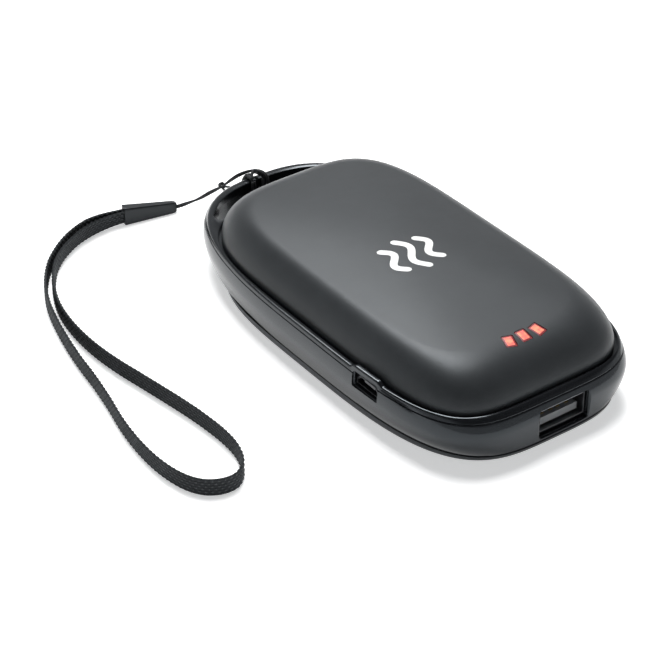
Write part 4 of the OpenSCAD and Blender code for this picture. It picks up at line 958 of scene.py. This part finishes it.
def make_lower_shell():
    rings = [body_ring(z, inset, EVEN) for z, inset in SHELL_FOOT + SHELL_SIDE + SHELL_TOP]
    rings += upright(body_ring(RIM_Z, SHELL_REBATE, EVEN), SEAM_Z, REBATE_Z)
    rings += [outline(CAVITY_HALF, CAVITY_FRONT, CAVITY_REAR, z, (FRONT_SQUARE, REAR_SQUARE), EVEN)
              for z in (REBATE_Z, LEDGE_Z)]
    rings += [bottom_seam_ring(LEDGE_INSET, z, EVEN) for z in (LEDGE_Z, BOTTOM_Z)]
    shell = add_mesh("belly_shell", loft(rings, closed=True))
    hole = capped([along_x(stadium(BUTTON_L + grow, BUTTON_H + grow), x)
                   for x, grow in BUTTON_HOLE])
    carve(shell, slot_cutter(BOTTOM_Z, SEAM_Z, 0), micro_cutter(), usb_cutter(), hole)
    finish_piece(shell, LOOKS["gloss_black"], "gloss_black", "case", "lower_shell")


BOTTOM_STEPS, BOTTOM_FLOOR_Z = 24, 1.5
# Insets and heights of the bottom cover's seam, wall and floor, from the outside in
BOTTOM_BACK = ((0.5, 2.75), (0.5, 3.0), (1.6, 3.0), (1.6, 4.5), (2.8, 4.5), (2.8, 1.5))
BOTTOM_CUT_Y, BOTTOM_CUT_Z = (-60, -52), (4.0, 6)


def make_bottom_cover():
    rings = [bottom_ring(s, EVEN) for s in np.linspace(1, 0, BOTTOM_STEPS)]
    rings += [bottom_seam_ring(inset, z, EVEN) for inset, z in BOTTOM_BACK]
    piece = add_mesh("base_cover", loft(rings, first_pole=(0, 0, 0),
                                        last_pole=(0, 0, BOTTOM_FLOOR_Z)))
    carve(piece, box_part((USB_X - OPENING_W / 2, BOTTOM_CUT_Y[0], BOTTOM_CUT_Z[0]),
                          (USB_X + OPENING_W / 2, BOTTOM_CUT_Y[1], BOTTOM_CUT_Z[1])))
    finish_piece(piece, LOOKS["satin_black"], "satin_black", "case", "bottom_cover")


BUTTON_SINK, FLANGE_L, FLANGE_H, FLANGE_X, BUTTON_BACK_X = 0.15, 1.8, 0.4, 27.4, 26.6
BUTTON_FACE_SHARES = np.linspace(0.06, 0.9, 9)
# Insets of the button's rounded edge, and its drop there
BUTTON_EDGE = ((0.12, 0.04), (0.03, 0.13), (0, 0.26))


def on_face(flat, drop):
    """A flat outline laid on the button's face, or this far below it."""
    return along_x(flat, [skin_x(y - BUTTON_Y, z + BUTTON_Z) - BUTTON_SINK - drop
                          for y, z in flat])


def make_button():
    rings = [on_face(stadium(BUTTON_L, BUTTON_H) * share, 0) for share in BUTTON_FACE_SHARES]
    rings += [on_face(stadium(BUTTON_L - 2 * inset, BUTTON_H - 2 * inset), drop)
              for inset, drop in BUTTON_EDGE]
    flange = stadium(BUTTON_L + FLANGE_L, BUTTON_H + FLANGE_H)
    rings += [along_x(stadium(BUTTON_L, BUTTON_H), FLANGE_X), along_x(flange, FLANGE_X),
              along_x(flange, BUTTON_BACK_X)]
    face = (skin_x(-BUTTON_Y, BUTTON_Z) - BUTTON_SINK, -BUTTON_Y, BUTTON_Z)
    button = add_mesh("side_button", loft(rings, first_pole=face,
                                          last_pole=(BUTTON_BACK_X, -BUTTON_Y, BUTTON_Z)))
    finish_piece(button, LOOKS["satin_black"], "satin_black", "button", "power_button")


make_bezel()
make_lower_shell()
make_bottom_cover()
make_button()

# Carried-over nodes
BEVELS = {"usb_a_shell": 0.1, "usb_a_tongue": 0.12, "usb_a_contacts": 0.05,
          "micro_usb_shell": 0.08, "micro_usb_tongue": 0.06}
SLOT_OF = {row["node"]: row["material_slot"] for row in frame["record"]["subparts"]}
for name, node in NODES.items():
    if node.hide_render:
        continue
    node.data.materials.clear()
    # The charging socket's shell takes the darkened steel, painted shade in its recess
    look = STEEL_PAINTED_SHADE if name == "micro_usb_shell" else LOOKS[SLOT_OF[name]]
    node.data.materials.append(look)
    smooth(node)
    if name in BEVELS:
        bevel = node.modifiers.new("edges", "BEVEL")
        bevel.width = BEVELS[name] * MM
        bevel.segments = 2
        bevel.limit_method = "ANGLE"


# Floor, world and lamps, with lengths in metres
FLOOR_HALF, FLOOR_GREY, FLOOR_ROUGHNESS = 6.0, 0.82, 0.9
FLOOR_LIFT, FLOOR_LIFT_COLOUR = 0.5, (0.985, 0.995, 1, 1)
# The upward share of a direction where the sky's light part ends and its dark part starts
SKY_RISES = (0.34, 0.58)
SKY_COLOURS = ((0.9, 0.905, 0.915, 1), (0.035, 0.036, 0.038, 1))
SKY_STRENGTH = 0.82


def math_node(tree, operation, first, second):
    """A math node with one linked input, and a second that is linked or a number."""
    node = tree.nodes.new("ShaderNodeMath")
    node.operation = operation
    tree.links.new(first, node.inputs[0])
    if isinstance(second, float):
        node.inputs[1].default_value = second
    else:
        tree.links.new(second, node.inputs[1])
    return node.outputs[0]


def make_floor():
    """Pale floor that looks white to the camera and in reflections, and keeps its shadows."""
    s = FLOOR_HALF
    mesh = bpy.data.meshes.new("floor")
    mesh.from_pydata([(-s, -s, 0), (s, -s, 0), (s, s, 0), (-s, s, 0)], [], [(0, 1, 2, 3)])
    floor = bpy.data.objects.new("floor", mesh)
    bpy.context.scene.collection.objects.link(floor)
    material, tree, shader = new_material("floor_white")
    shader.inputs["Base Color"].default_value = (FLOOR_GREY, FLOOR_GREY, FLOOR_GREY, 1)
    shader.inputs["Roughness"].default_value = FLOOR_ROUGHNESS
    shader.inputs["Emission Color"].default_value = FLOOR_LIFT_COLOUR
    ray = tree.nodes.new("ShaderNodeLightPath").outputs
    seen = math_node(tree, "MAXIMUM", ray["Is Camera Ray"], ray["Is Glossy Ray"])
    seen = math_node(tree, "MAXIMUM", seen, ray["Is Transmission Ray"])
    tree.links.new(math_node(tree, "MULTIPLY", seen, FLOOR_LIFT),
                   shader.inputs["Emission Strength"])
    floor.data.materials.append(material)


def make_world():
    """Sky that is light at the horizon and dark above."""
    world = bpy.data.worlds.new("studio")
    bpy.context.scene.world = world
    world.use_nodes = True
    tree = world.node_tree
    coords = tree.nodes.new("ShaderNodeTexCoord")
    split = tree.nodes.new("ShaderNodeSeparateXYZ")
    tree.links.new(coords.outputs["Generated"], split.inputs["Vector"])
    ramp = tree.nodes.new("ShaderNodeValToRGB")
    ramp.color_ramp.interpolation = "EASE"
    for element, place, colour in zip(ramp.color_ramp.elements, SKY_RISES, SKY_COLOURS):
        element.position = place
        element.color = colour
    tree.links.new(split.outputs["Z"], ramp.inputs["Fac"])
    background = tree.nodes["Background"]
    tree.links.new(ramp.outputs["Color"], background.inputs["Color"])
    background.inputs["Strength"].default_value = SKY_STRENGTH


def area_lamp(name, place, along, width, length, power):
    """Soft box that faces the origin, its length laid near the direction along."""
    data = bpy.data.lights.new(name, "AREA")
    data.shape = "RECTANGLE"
    data.size = width
    data.size_y = length
    data.energy = power
    lamp = bpy.data.objects.new(name, data)
    bpy.context.scene.collection.objects.link(lamp)
    back = Vector(place).normalized()
    up = Vector(along)
    up = (up - back * up.dot(back)).normalized()
    turn = Matrix((up.cross(back), up, back)).transposed()
    lamp.matrix_world = Matrix.Translation(Vector(place)) @ turn.to_4x4()


bpy.context.scene.view_settings.view_transform = "Standard"
make_floor()
make_world()
area_lamp("key_softbox", place=(0.19, 0.40, 0.93), along=(-0.1, -0.8, 0.6), width=0.5,
          length=0.74, power=18)
area_lamp("far_fill", place=(0.36, 0.83, 0.6), along=(0, 0, 1), width=0.9, length=0.5, power=0.4)
